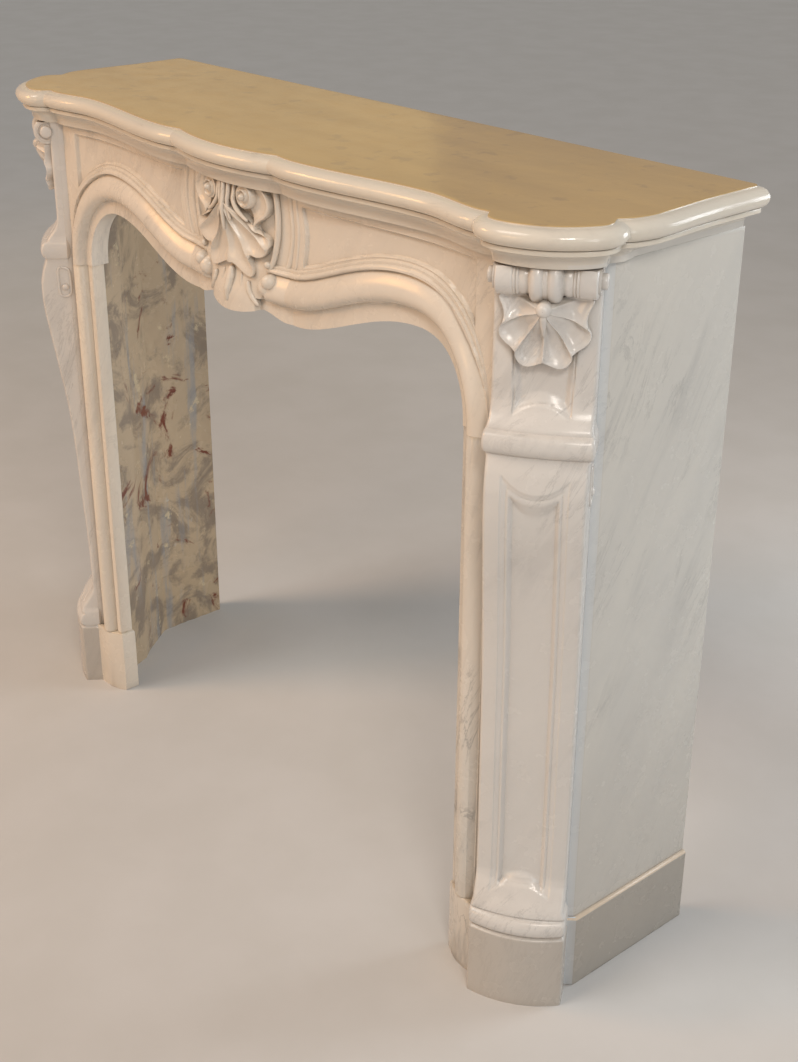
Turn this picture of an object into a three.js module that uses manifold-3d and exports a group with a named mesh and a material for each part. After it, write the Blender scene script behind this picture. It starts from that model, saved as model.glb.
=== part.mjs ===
// A carved white marble fireplace mantel: a serpentine shelf on a carved arched lintel, two canted
// console jambs, moulded slips, and flat side returns that run back to the wall.
// Millimetres, +Z up. The front faces -Y, and the origin is on the floor under the middle of the box.
// The pieces are drawn with the wall at y = 0 and centred at the end.
import * as THREE from 'three';
import { mergeVertices } from 'three/addons/utils/BufferGeometryUtils.js';
import Module from 'manifold-3d';

// Whole mantel
const height = 1080;
const jointGap = 0.3;

// Fire opening, slips and slip blocks
const openingHalf = 439;
const slipThickness = 22;
const slipSetback = 1.5;
const slipBlockHeight = 117.5;
const slipBlockOut = 3;
const slipBlockProud = 14;
const slipBlockCant = 32;

// Jambs: the point under the middle of the foot's front, their cant, and their plan
const jambFromOpening = 135;
const jambX = openingHalf + jambFromOpening;
const jambReach = 315;
const cantDegrees = 36;
const shaftHalf = 60;
const footSideOut = 4.5;
const bandSideOut = 5.5;
const sideMouldDepth = 46;
const footHeight = 113;
const footBow = 12;
const shaftBow = 5;
const jambBackPoints = [[85, 140], [37, 124], [8, 119], [-23, 99]];
const jambInnerDepth = 98;

// Jamb profile: setbacks behind the face of the foot
const baseTorusHeight = 30;
const waistSetback = 34;
const waistHeight = 188;
const bellySetback = -6.5;
const bellyBelowTop = 335;
const bellyCurve = [[0.34, 0.12], [0.55, 0.25], [0.65, 0.36], [0.76, 0.58], [0.88, 0.83], [1, 1]];
const bandBelowTop = 274;
const bandHeight = 27;
const bandSetback = -2;
const neckSetback = 29;
const neckBelowTop = 192;

// Jamb head: the roll and the shell, whose rim is given as shares of its half width and reach
const rollAxisSetback = 26;
const rollAxisBelowTop = 69;
const rollHalf = 55;
const rollBed = 9;
const drumRadius = 22.5;
const lobeRadius = 28;
const pinRadius = 8;
const pinLength = 10;
const shellBelowTop = 96;
const shellReach = 74;
const shellHalfWidth = 51;
const shellRim = [
  [0, 0.91],
  [0.2, 0.98],
  [0.38, 0.99],
  [0.5, 0.83],
  [0.7, 0.76],
  [0.93, 0.66],
  [0.93, 0.5],
  [1, 0.4],
  [0.9, 0.22],
  [0.95, 0.04],
  [0.55, -0.15],
];
const shellFlute = 5;
const knobRadius = 9;
const knobProud = 36;

// Jamb panels
const panelDepth = 4;
const panelArch = 13;
const upperPanelHalf = 35;
const upperPanelSillBelowTop = 228;
const lowerPanelHalf = 40;
const lowerPanelHeadBelowTop = 297;
const lowerPanelSill = 164;
const lowerPanelDip = 17;
const lowerFrameDepth = 1.2;
const innerPanelMargin = 10.5;

// Shelf: half widths, and reaches forward from the wall, of its top edge
const shelfThickness = 52;
const centreHalf = 112;
const centreReach = 348;
const notchReach = 330;
const swellAt = 152;
const swellReach = 335;
const hollowFromJamb = 189;
const hollowReach = 311;
const shoulderFromJamb = 96;
const shoulderReach = 323;
const shelfEndOut = 38;
const endSwell = 8;
const endSwellReach = 195;
const backCornerRadius = 9;
const hollowAt = jambX - hollowFromJamb;
const shoulderAt = jambX - shoulderFromJamb;
const shelfEndHalf = jambX + shelfEndOut;

// Shelf edge: a step, a roll, a fillet and a hollow
const edgeStep = 2;
const rollHeight = 25;
const rollOut = 17;
const filletOut = 7;
const filletHeight = 4;
const coveIn = 6;
const coveHeight = 15;

// Corner blocks of the shelf, in the canted frame of the jambs
const blockHalf = 70;
const blockShoulderHalf = 52;
const blockNotchBack = 44;
const blockFrontOut = 4.5;

// Returns and their base blocks
const returnFromJamb = 23;
const returnOut = jambX + returnFromJamb;
const returnThickness = 22;
const returnReach = 226;
const returnInsideReach = 132;
const returnBaseHeight = 115.5;
const returnBaseOut = 6;
const returnBaseChamfer = 4;

// Lintel: its front face in plan, its arch and its mouldings
const lintelReach = 298;
const lintelSwell = 0.64;
const lintelBackReach = 272;
const springBelowTop = 277;
const crestFromOpening = 89;
const crestAt = openingHalf - crestFromOpening;
const crestBelowTop = 175;
const dipAt = 103;
const dipBelowTop = 233;
const cuspAt = 56;
const cuspBelowTop = 217;
const tongueDrop = 14;
const shoulderPower = 2.2;
const bandWidthMiddle = 25;
const bandWidthSlip = 15;
const torusWidthMiddle = 42;
const torusWidthSlip = 34;
const torusProud = 14;
const filletWidth = 12;
const filletProud = 6;
const quirkDepth = 5;

// Frieze panels
const friezePanelDepth = 5;
const friezePanelBelowTop = 65;
const friezePanelInner = 142;
const friezePanelPastOpening = 19;
const friezePanelOuter = openingHalf + friezePanelPastOpening;
const friezePanelMargin = 3;

// Cartouche
const plateProud = 6;
const plateHalf = 84;
const plateWaist = 66;
const scrollRibRadius = 8;
const scrollRibAt = 100;
const volutesAt = 40;
const volutesBelowTop = 65;
const voluteRadius = 17;
const voluteProud = 22;
const fanBelowTop = 80;
const fanLength = 96;
const fanHalfWidth = 80;
const fanRibs = 7;
const fanRibRadius = 13;
const huskLength = 34;
const huskRadius = 8;

// How far a cut or a layer runs past the stone it passes through
const clearOf = 100;

const wasm = await Module();
wasm.setup();
const cant = THREE.MathUtils.degToRad(cantDegrees);
const { lerp, clamp, smoothstep } = THREE.MathUtils;

function steps(from, to, count) {
  return Array.from({ length: count + 1 }, (_, k) => lerp(from, to, k / count));
}

function unite(solids) {
  return solids.reduce((sum, solid) => sum.add(solid));
}

// Triangles over one flat ring, turned the way the ring runs.
function capFaces(ring) {
  const normal = new THREE.Vector3();
  ring.forEach((p, k) => {
    const q = ring[(k + 1) % ring.length];
    normal.x += (p.y - q.y) * (p.z + q.z);
    normal.y += (p.z - q.z) * (p.x + q.x);
    normal.z += (p.x - q.x) * (p.y + q.y);
  });
  normal.normalize();
  const across = new THREE.Vector3(normal.y, normal.z, normal.x).cross(normal).normalize();
  const up = new THREE.Vector3().crossVectors(normal, across);
  const flat = ring.map((p) => new THREE.Vector2(p.dot(across), p.dot(up)));
  return THREE.ShapeUtils.triangulateShape(flat, []);
}

// One closed solid with its faces out.
function closedSolid(points, faces) {
  const volume = faces.reduce((sum, [a, b, c]) => {
    const cross = new THREE.Vector3().crossVectors(points[b], points[c]);
    return sum + points[a].dot(cross);
  }, 0);
  const outward = volume > 0 ? faces : faces.map(([a, b, c]) => [a, c, b]);
  return new wasm.Manifold(new wasm.Mesh({
    numProp: 3,
    vertProperties: new Float32Array(points.flatMap((p) => [p.x, p.y, p.z])),
    triVerts: new Uint32Array(outward.flat()),
  }));
}

// Skins a row of closed rings, all with as many points, and closes both ends.
function loft(rings) {
  const count = rings[0].length;
  const faces = [];
  for (let i = 0; i < rings.length - 1; i += 1) {
    for (let j = 0; j < count; j += 1) {
      const a = i * count + j;
      const b = i * count + ((j + 1) % count);
      faces.push([a, b, b + count], [a, b + count, a + count]);
    }
  }
  const last = (rings.length - 1) * count;
  for (const [p, q, r] of capFaces(rings[0])) faces.push([r, q, p]);
  for (const face of capFaces(rings.at(-1))) faces.push(face.map((k) => k + last));
  return closedSolid(rings.flat(), faces);
}

// A closed three.js geometry as a solid, put in place by a matrix.
function solidOf(geometry, matrix) {
  const bare = geometry.clone().applyMatrix4(matrix);
  bare.deleteAttribute('normal');
  bare.deleteAttribute('uv');
  const merged = mergeVertices(bare, 0.001);
  const place = merged.getAttribute('position');
  const points = [];
  for (let k = 0; k < place.count; k += 1) {
    points.push(new THREE.Vector3().fromBufferAttribute(place, k));
  }
  const index = merged.getIndex().array;
  const faces = [];
  for (let k = 0; k < index.length; k += 3) {
    const face = [index[k], index[k + 1], index[k + 2]];
    if (new Set(face).size === 3) faces.push(face);
  }
  return closedSolid(points, faces);
}

// An outline on the plan, of [x, y] points, raised between two heights.
function upright(outline, low, high) {
  return loft([low, high].map((z) => outline.map(([x, y]) => new THREE.Vector3(x, y, z))));
}

// An outline on the front, of [x, z] points, run from the wall to well past the front.
function throughFront(outline) {
  const past = -(centreReach + clearOf);
  return loft([0, past].map((y) => outline.map(([x, z]) => new THREE.Vector3(x, y, z))));
}

// Value at a place in a table of [place, value], eased from each row to the next.
function eased(table, place) {
  const next = table.findIndex(([at]) => at > place);
  if (next === 0) return table[0][1];
  if (next < 0) return table.at(-1)[1];
  const [x0, v0] = table[next - 1];
  const [x1, v1] = table[next];
  return lerp(v0, v1, smoothstep(place, x0, x1));
}

// A point of the canted frame of the right jamb: along its face, behind its foot's face, and up.
function canted(along, behind, z = 0) {
  return new THREE.Vector3(
    jambX + along * Math.cos(cant) - behind * Math.sin(cant),
    -jambReach + along * Math.sin(cant) + behind * Math.cos(cant),
    z,
  );
}

// Shelf

// How far the shelf's top edge reaches forward between the corner blocks.
function shelfReach(x) {
  const half = Math.abs(x);
  if (half < centreHalf) return lerp(centreReach, notchReach, (half / centreHalf) ** 2);
  const wave = [
    [centreHalf, notchReach],
    [swellAt, swellReach],
    [hollowAt, hollowReach],
    [shoulderAt, shoulderReach],
  ];
  return eased(wave, half);
}

// Right half of the top edge, from the middle of the front round to the wall.
function shelfHalfEdge() {
  const stations = [
    ...steps(0, centreHalf, 5),
    lerp(centreHalf, swellAt, 0.5),
    ...steps(swellAt, hollowAt, 7),
    ...steps(hollowAt, shoulderAt, 4).slice(1),
  ];
  const front = stations.map((x) => [x, -shelfReach(x)]);
  const flank = (side) => [
    [side * blockHalf, blockNotchBack],
    [side * (blockHalf - 3), blockNotchBack * 0.5],
    [side * blockShoulderHalf, 8],
    [side * blockShoulderHalf * 0.5, 1 - blockFrontOut * 0.5],
  ];
  const around = [...flank(-1), [0, -blockFrontOut], ...flank(1).reverse()];
  const block = new THREE.SplineCurve(around.map(([u, s]) => new THREE.Vector2(u, s)));
  const corner = block.getPoints(16).map(({ x, y }) => canted(x, y)).map((p) => [p.x, p.y]);
  const [blockEndX, blockEndY] = corner.at(-1);
  const sideWave = [
    [-endSwellReach, shelfEndHalf + endSwell],
    [-endSwellReach * 0.4, shelfEndHalf],
  ];
  const side = steps(-endSwellReach, -endSwellReach * 0.4, 4).map((y) => [eased(sideWave, y), y]);
  const quarter = steps(0, Math.PI / 2, 3).map((turn) => [
    shelfEndHalf - backCornerRadius * (1 - Math.cos(turn)),
    -backCornerRadius * (1 - Math.sin(turn)),
  ]);
  const startSide = [lerp(blockEndX, shelfEndHalf + endSwell, 0.75), lerp(blockEndY, -endSwellReach, 0.5)];
  return [...front, ...corner, startSide, ...side, ...quarter].map(([x, y]) => new THREE.Vector2(x, y));
}

// The edge moved outward, mitred at its corners and kept in front of the wall.
function movedOut(edge, distance) {
  return edge.map((p, k) => {
    const before = k === 0 ? new THREE.Vector2(-1, p.y) : edge[k - 1];
    const after = edge[Math.min(k + 1, edge.length - 1)];
    const arriving = new THREE.Vector2().subVectors(p, before).normalize();
    const leaving = k === edge.length - 1 ? arriving : new THREE.Vector2().subVectors(after, p).normalize();
    const mean = new THREE.Vector2().addVectors(arriving, leaving).normalize();
    const mitre = distance / mean.dot(arriving);
    return new THREE.Vector2(p.x + mean.y * mitre, Math.min(p.y - mean.x * mitre, 0));
  });
}

function mantelShelf() {
  const rollEnd = edgeStep + rollHeight;
  const coveStart = rollEnd + filletHeight;
  const coveEnd = coveStart + coveHeight;
  const roll = [
    [1, 0],
    [rollOut * 0.65, 0.09],
    [rollOut, 0.4],
    [rollOut * 0.93, 0.75],
    [filletOut + 2, 1],
  ].map(([out, share]) => [out, edgeStep + rollHeight * share]);
  const cove = steps(0, Math.PI / 2, 2).map((turn) => [
    lerp(filletOut - 1, -coveIn, Math.sin(turn)),
    coveEnd - (coveHeight - 1) * Math.cos(turn),
  ]);
  const profile = [[-1.5, 0], [-1.5, edgeStep - 0.3], ...roll, [filletOut, coveStart], ...cove];
  profile.push([-coveIn, shelfThickness]);
  const edge = shelfHalfEdge();
  return loft(profile.map(([out, down]) => {
    const right = movedOut(edge, out);
    const left = right.slice(1).reverse().map((p) => new THREE.Vector2(-p.x, p.y));
    return [...left, ...right].map((p) => new THREE.Vector3(p.x, p.y, height - down));
  }));
}

// Jambs

const shelfUnderside = height - shelfThickness;
const seatZ = shelfUnderside - jointGap;
const bandFoot = height - bandBelowTop;
const bandTop = bandFoot + bandHeight;
const torusTop = footHeight + baseTorusHeight;
const hingeZ = height - shellBelowTop;

// The jamb's profile: height, setback of the front, its bow, and how far the sides stand out.
function profileRows() {
  const torusSetback = 9;
  const rows = [
    [0, 0, footBow, footSideOut],
    [footHeight - 3, 0, footBow, footSideOut],
    [footHeight, 5, footBow, footSideOut * 0.4],
    [footHeight + baseTorusHeight * 0.2, 2, footBow, footSideOut * 0.8],
    [footHeight + baseTorusHeight * 0.5, 1, footBow * 0.8, footSideOut],
    [torusTop - baseTorusHeight * 0.2, 4, footBow * 0.7, footSideOut * 0.8],
    [torusTop, torusSetback, footBow * 0.6, footSideOut * 0.3],
  ];
  for (const t of [0.3, 0.65, 1]) {
    const flare = lerp(torusSetback + 1, waistSetback, Math.sin((t * Math.PI) / 2));
    rows.push([lerp(torusTop, waistHeight, t), flare, lerp(footBow * 0.6, shaftBow, t), 0]);
  }
  for (const [t, swell] of bellyCurve) {
    const z = lerp(waistHeight, height - bellyBelowTop, t);
    rows.push([z, lerp(waistSetback, bellySetback, swell), shaftBow, 0]);
  }
  rows.push(
    [bandFoot - 24, bellySetback + 4, shaftBow, 0],
    [bandFoot - 8, 4, shaftBow, 0],
    [bandFoot, 5, shaftBow, bandSideOut * 0.4],
    [bandFoot + bandHeight * 0.15, bandSetback + 1, shaftBow, bandSideOut * 0.8],
    [bandFoot + bandHeight * 0.5, bandSetback, shaftBow, bandSideOut],
    [bandTop - bandHeight * 0.15, bandSetback + 2, shaftBow, bandSideOut * 0.8],
    [bandTop, bandSetback + 7, shaftBow, bandSideOut * 0.5],
  );
  for (const t of [0.1, 0.45, 1]) {
    const flare = lerp(bandSetback + 10, neckSetback, Math.sin((t * Math.PI) / 2));
    rows.push([lerp(bandTop, height - neckBelowTop, t), flare, shaftBow, bandSideOut * 0.3 * (1 - t)]);
  }
  rows.push(
    [hingeZ + 2, neckSetback, shaftBow, 0],
    [hingeZ + 5, neckSetback - rollBed, shaftBow, 0],
    [seatZ, neckSetback - rollBed, shaftBow, 0],
  );
  return rows;
}

const jambProfile = profileRows();

// One column of the profile at any height.
function profileAt(z, column) {
  const next = Math.max(jambProfile.findIndex((row) => row[0] >= z), 1);
  const low = jambProfile[next - 1];
  const high = jambProfile[next];
  return lerp(low[column], high[column], clamp((z - low[0]) / (high[0] - low[0]), 0, 1));
}

function frontSetback(u, z) {
  return profileAt(z, 1) + profileAt(z, 2) * (u / shaftHalf) ** 2;
}

// Outer corner of the return's mitred front end, on the slab or, lower down, on its base block.
function returnCorner(z) {
  const onBase = z <= returnBaseHeight + jointGap;
  return new THREE.Vector2(returnOut + (onBase ? returnBaseOut : 0), -returnReach);
}

// Plan ring of the right jamb at one height.
function jambRing([z, setback, bow, sideOut]) {
  const half = shaftHalf + Math.max(sideOut, 0.2);
  const shoulder = sideMouldDepth + half - shaftHalf;
  const bevel = 3;
  const across = [-half + bevel, -half * 0.5, 0, half * 0.5, half - bevel];
  const front = across.map((u) => canted(u, setback + bow * (u / shaftHalf) ** 2, z));
  const corner = setback + bow + bevel;
  const mitre = returnCorner(z);
  const mitreLine = mitre.x - mitre.y + jointGap * Math.SQRT2;
  const sideStart = canted(shaftHalf, 0);
  const meet = (sideStart.x - sideStart.y - mitreLine) / (Math.sin(cant) + Math.cos(cant));
  const inside = returnOut - returnThickness - jointGap;
  return [
    ...front,
    canted(half, corner, z),
    canted(half, sideMouldDepth, z),
    canted(shaftHalf, shoulder, z),
    canted(shaftHalf, meet, z),
    new THREE.Vector3(inside, inside - mitreLine, z),
    new THREE.Vector3(inside, -returnInsideReach, z),
    ...jambBackPoints.map(([u, s]) => canted(u, s, z)),
    canted(-shaftHalf, jambInnerDepth, z),
    canted(-shaftHalf, shoulder, z),
    canted(-half, sideMouldDepth, z),
    canted(-half, corner, z),
  ];
}

// What a sunk panel takes out of the jamb's front, between a sill and a head that may be curved.
function panelCutter(half, depth, sill, head) {
  const low = Math.min(sill(0), sill(half)) - 5;
  const high = Math.max(head(0), head(half)) + 5;
  const clearFront = -clearOf;
  const shell = loft(steps(low, high, 8).map((z) => [
    ...steps(-half, half, 2).map((u) => canted(u, frontSetback(u, z) + depth, z)),
    canted(half, clearFront, z),
    canted(-half, clearFront, z),
  ]));
  const wide = half + 1;
  const outline = [
    ...steps(-wide, wide, 4).map((u) => [u, sill(u)]),
    ...steps(wide, -wide, 4).map((u) => [u, head(u)]),
  ];
  return shell.intersect(loft([clearFront, 60].map((s) => outline.map(([u, z]) => canted(u, s, z)))));
}

// The roll under the shelf, turned about its own axis: pins, drums, necks and a pair of lobes.
function jambRoll() {
  const half = [
    [0, rollHalf + pinLength],
    [pinRadius, rollHalf + pinLength - 1],
    [pinRadius, rollHalf],
    [drumRadius - 2, rollHalf],
    [drumRadius, rollHalf * 0.92],
    [drumRadius, rollHalf * 0.67],
    [drumRadius * 0.88, rollHalf * 0.6],
    [drumRadius * 0.82, rollHalf * 0.4],
    [lobeRadius * 0.93, rollHalf * 0.28],
    [lobeRadius, rollHalf * 0.15],
    [lobeRadius * 0.9, 0],
  ];
  const otherHalf = half.slice(0, -1).reverse().map(([r, u]) => [r, -u]);
  const profile = [...half, ...otherHalf].reverse().map(([r, u]) => new THREE.Vector2(r, u));
  const axis = canted(0, rollAxisSetback, height - rollAxisBelowTop);
  const matrix = new THREE.Matrix4().makeRotationZ(cant - Math.PI / 2).setPosition(axis);
  return solidOf(new THREE.LatheGeometry(profile, 10), matrix);
}

// The scallop: lobes that fan out below a knob, dished across and lipped at the rim.
function jambShell() {
  const wall = neckSetback + shaftBow;
  const half = shellRim.map(([across, drop]) => [shellHalfWidth * across, -shellReach * drop]);
  const rim = [...half.slice(1).reverse().map(([across, up]) => [-across, up]), ...half];
  const fan = loft(rim.map(([across, up], k) => {
    const at = (t, behind) => canted(across * t, behind, hingeZ + up * t);
    const flute = k % 2 ? shellFlute : 0;
    const dish = [[0.06, 29], [0.4, 12 + flute], [0.75, 7 + flute], [1, 11]];
    const front = dish.map(([t, out]) => at(t, wall - out));
    return [...front, at(1, wall + shellFlute), at(0.06, wall + shellFlute)];
  }));
  const knob = [
    [0, 0],
    [knobRadius, 0],
    [knobRadius, knobProud * 0.85],
    [knobRadius * 0.7, knobProud],
    [0, knobProud + 2],
  ];
  const turned = new THREE.LatheGeometry(knob.map(([r, out]) => new THREE.Vector2(r, out)), 8);
  const tipped = new THREE.Matrix4().makeRotationX(Math.PI / 2);
  const facing = new THREE.Matrix4().makeRotationZ(cant).multiply(tipped);
  return unite([fan, solidOf(turned, facing.setPosition(canted(0, wall + 4, hingeZ)))]);
}

function consoleJamb() {
  const rings = jambProfile.flatMap((row, k) => {
    const next = jambProfile[k + 1];
    const seam = returnBaseHeight + jointGap;
    if (!next || row[0] >= seam || next[0] <= seam) return [jambRing(row)];
    return [jambRing(row), jambRing([0, 1, 2, 3].map((column) => (column ? profileAt(seam, column) : seam)))];
  });
  const curved = (level, rise, half) => (u) => level + rise * (1 - (u / half) ** 2);
  const sill = height - upperPanelSillBelowTop;
  const headZ = height - lowerPanelHeadBelowTop;
  const innerHalf = lowerPanelHalf - innerPanelMargin;
  const cuts = [
    panelCutter(upperPanelHalf, panelDepth, curved(sill, panelArch, upperPanelHalf), () => hingeZ),
    panelCutter(
      lowerPanelHalf,
      lowerFrameDepth,
      curved(lowerPanelSill, panelArch, lowerPanelHalf),
      curved(headZ, -lowerPanelDip, lowerPanelHalf),
    ),
    panelCutter(
      innerHalf,
      lowerFrameDepth + panelDepth,
      curved(lowerPanelSill + innerPanelMargin * 0.4, panelArch, innerHalf),
      curved(headZ - innerPanelMargin, -lowerPanelDip, innerHalf),
    ),
  ];
  const block = cuts.reduce((solid, cut) => solid.subtract(cut), loft(rings));
  const corners = [[-1, -1], [1, -1], [1, 1], [-1, 1]].map(([u, s]) => canted(u * 100, s * 100));
  const lid = upright(corners.map((p) => [p.x, p.y]), seatZ, height);
  return unite([block, jambRoll(), jambShell()]).subtract(lid);
}

// Room that the right jamb takes from its neighbours, with the joint's gap.
function jambRoom() {
  const widest = shaftHalf + Math.max(footSideOut, bandSideOut) + jointGap;
  const far = 300;
  const outline = [
    [-widest, -far],
    [-widest, sideMouldDepth + jointGap],
    [-shaftHalf - jointGap, sideMouldDepth + widest - shaftHalf + jointGap],
    [-shaftHalf - jointGap, far],
    [far, far],
    [far, -far],
  ];
  return upright(outline.map(([u, s]) => canted(u, s)).map((p) => [p.x, p.y]), -1, height);
}

// Lintel

// Front face of the lintel in plan.
function lintelFace(x) {
  return -(lintelReach + lintelSwell * (shelfReach(x) - hollowReach));
}

const springZ = height - springBelowTop;
const crestZ = height - crestBelowTop;
const dipZ = height - dipBelowTop;
const cuspZ = height - cuspBelowTop;

const dipPlace = 0.12;
const crestPlace = 0.58;

// Right half of the arch as [x, z], for a place from the cusp (0) to the springing (1).
function archPoint(place) {
  if (place < dipPlace) return [lerp(cuspAt, dipAt, place / dipPlace), dipZ];
  if (place < crestPlace) {
    const t = (place - dipPlace) / (crestPlace - dipPlace);
    return [lerp(dipAt, crestAt, t), lerp(dipZ, crestZ, 0.5 - 0.5 * Math.cos(Math.PI * t))];
  }
  const turn = ((place - crestPlace) / (1 - crestPlace)) * (Math.PI / 2);
  const power = 2 / shoulderPower;
  return [
    lerp(crestAt, openingHalf, Math.sin(turn) ** power),
    lerp(springZ, crestZ, Math.max(Math.cos(turn), 0) ** power),
  ];
}

// A point at a distance outward from the arch, whose bare edge also rises to the cusp.
function beyondArch(place, out) {
  const reach = 0.003;
  const [ax, az] = archPoint(clamp(place - reach, 0, 1));
  const [bx, bz] = archPoint(clamp(place + reach, 0, 1));
  const along = place >= 1 ? new THREE.Vector2(0, -1) : new THREE.Vector2(bx - ax, bz - az).normalize();
  const [x, z] = archPoint(place);
  const rise = 0.5 + 0.5 * Math.cos(Math.PI * Math.min(place / dipPlace, 1));
  const lift = (cuspZ - dipZ) * rise * Math.max(1 - out / bandWidthMiddle, 0);
  return [x - along.y * out, z + along.x * out + lift];
}

// Section of the arch moulding as [distance from the edge, how far it stands out].
function mouldingSection(place) {
  const band = lerp(bandWidthMiddle, bandWidthSlip, smoothstep(place, 0.4, 0.9));
  const torus = lerp(torusWidthMiddle, torusWidthSlip, smoothstep(place, 0.5, 0.95));
  const fillet = 1 - smoothstep(place, 0.75, 0.95);
  const outer = band + torus;
  const width = filletWidth * lerp(0.2, 1, fillet);
  return [
    [0, 0],
    [band - 4, 0],
    [band, -quirkDepth],
    [band + torus * 0.1, torusProud * 0.65],
    [band + torus * 0.36, torusProud],
    [band + torus * 0.65, torusProud * 0.82],
    [outer, torusProud * 0.25],
    [outer + 1, filletProud * fillet + 1],
    [outer + width * 0.45, filletProud * fillet + 1],
    [outer + width * 0.5, filletProud * 0.4 * fillet + 0.5],
    [outer + width, filletProud * 0.4 * fillet + 0.5],
  ];
}

const stationCount = 22;
const archPlaces = steps(0, 1, stationCount);

// The flat band, torus and fillets that follow the arch, as one sweep down to the back of the lintel.
function archMoulding() {
  return loft(archPlaces.map((place) => {
    const section = mouldingSection(place).map(([out, proud]) => {
      const [x, z] = beyondArch(place, out);
      return new THREE.Vector3(x, lintelFace(x) - proud, z);
    });
    const behind = [section.at(-1), section[0]].map((p) => new THREE.Vector3(p.x, -lintelBackReach, p.z));
    return [...section, ...behind];
  }));
}

// A layer of stone that follows the lintel's curved front, between two distances behind that face.
// Without a second distance it goes through to the lintel's flat back.
function faceLayer(from, to) {
  const wide = jambX;
  const stations = [...steps(-wide, -centreHalf, 14), ...steps(-centreHalf, centreHalf, 7).slice(1, -1)];
  stations.push(...steps(centreHalf, wide, 14));
  return loft(stations.map((x) => {
    const front = lintelFace(x) + from;
    const back = to === undefined ? -lintelBackReach : lintelFace(x) + to;
    const ring = [[front, 0], [front, height], [back, height], [back, 0]];
    return ring.map(([y, z]) => new THREE.Vector3(x, y, z));
  }));
}

// An outline given for the right half, closed on the left by its mirror image.
function bothSides(points) {
  const left = points.filter(([x]) => x > 0).map(([x, z]) => [-x, z]);
  return [...points, ...left.reverse()];
}

function curveThrough(points, count) {
  return new THREE.SplineCurve(points.map(([x, z]) => new THREE.Vector2(x, z))).getPoints(count);
}

// Right half of the tongue's hanging edge, from the middle to the cusp.
function tongueEdge(count) {
  return steps(0, 1, count).map((t) => [cuspAt * t, cuspZ - tongueDrop * (1 - t * t)]);
}

// A rounded rib on the lintel's face along a curve of [x, z] points, thin at both ends.
function faceRib(points, radius, proud) {
  const path = curveThrough(points, 5);
  return loft(path.map((p, k) => {
    const before = path[Math.max(k - 1, 0)];
    const after = path[Math.min(k + 1, path.length - 1)];
    const across = new THREE.Vector2(before.y - after.y, after.x - before.x).normalize();
    const swell = radius * (0.55 + 0.45 * Math.sin((Math.PI * k) / (path.length - 1)));
    return steps(0, Math.PI * 2, 5).slice(0, -1).map((turn) => new THREE.Vector3(
      p.x + across.x * swell * Math.cos(turn),
      lintelFace(p.x) - proud - swell * 0.8 * Math.sin(turn),
      p.y + across.y * swell * Math.cos(turn),
    ));
  }));
}

// A spiral boss of the cartouche as turned rings round a button.
function volute(x) {
  const r = voluteRadius;
  const profile = [
    [0, 0],
    [r * 1.1, 0],
    [r * 1.05, voluteProud * 0.8],
    [r * 0.9, voluteProud],
    [r * 0.7, voluteProud * 0.92],
    [r * 0.55, voluteProud * 0.72],
    [r * 0.36, voluteProud * 0.8],
    [r * 0.25, voluteProud * 0.98],
    [0, voluteProud * 1.05],
  ];
  const lathe = new THREE.LatheGeometry(profile.map(([a, b]) => new THREE.Vector2(a, b)), 10);
  const seat = new THREE.Vector3(x, lintelFace(x) + 2, height - volutesBelowTop);
  return solidOf(lathe, new THREE.Matrix4().makeRotationX(Math.PI / 2).setPosition(seat));
}

// The cartouche: a plate with a hanging tongue, scrolled ribs, two volutes and a fan of shell ribs.
function cartouche() {
  const topZ = seatZ - 0.5;
  const plate = bothSides([
    ...tongueEdge(6).map(([x, z]) => [x, z + 0.5]),
    [cuspAt + 4, cuspZ + 24],
    [plateWaist, cuspZ + 46],
    [plateHalf * 0.98, lerp(cuspZ, topZ, 0.5)],
    [plateHalf, lerp(cuspZ, topZ, 0.75)],
    [plateHalf, topZ],
  ]);
  const parts = [faceLayer(-plateProud).intersect(throughFront(plate))];
  const hingeZ = height - fanBelowTop;
  for (const side of [-1, 1]) {
    const rib = (half, spread) => [
      [side * half, topZ - 12],
      [side * (half + spread), lerp(cuspZ, topZ, 0.68)],
      [side * (half - 2), lerp(cuspZ, topZ, 0.46)],
      [side * (half - 18), cuspZ + 46],
    ];
    parts.push(faceRib(rib(scrollRibAt - 10, 4), scrollRibRadius, 0));
    parts.push(faceRib(rib(scrollRibAt + 18, 5), scrollRibRadius, -2));
    parts.push(volute(side * volutesAt));
  }
  for (const turn of steps(-1, 1, fanRibs - 1)) {
    const lean = turn * THREE.MathUtils.degToRad(62);
    const length = lerp(fanLength, fanLength * 0.82, Math.abs(turn));
    const tipX = Math.sin(lean) * fanHalfWidth;
    const tip = [tipX, hingeZ - Math.cos(lean) * length];
    const path = [[turn * 8, hingeZ], [tipX * 0.5, lerp(hingeZ, tip[1], 0.55)], tip];
    parts.push(faceRib(path, fanRibRadius, plateProud + 2));
  }
  const husk = [[0, cuspZ + 42], [0, cuspZ + 42 - huskLength / 2], [0, cuspZ + 42 - huskLength]];
  parts.push(faceRib(husk, huskRadius, plateProud));
  return unite(parts);
}

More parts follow.
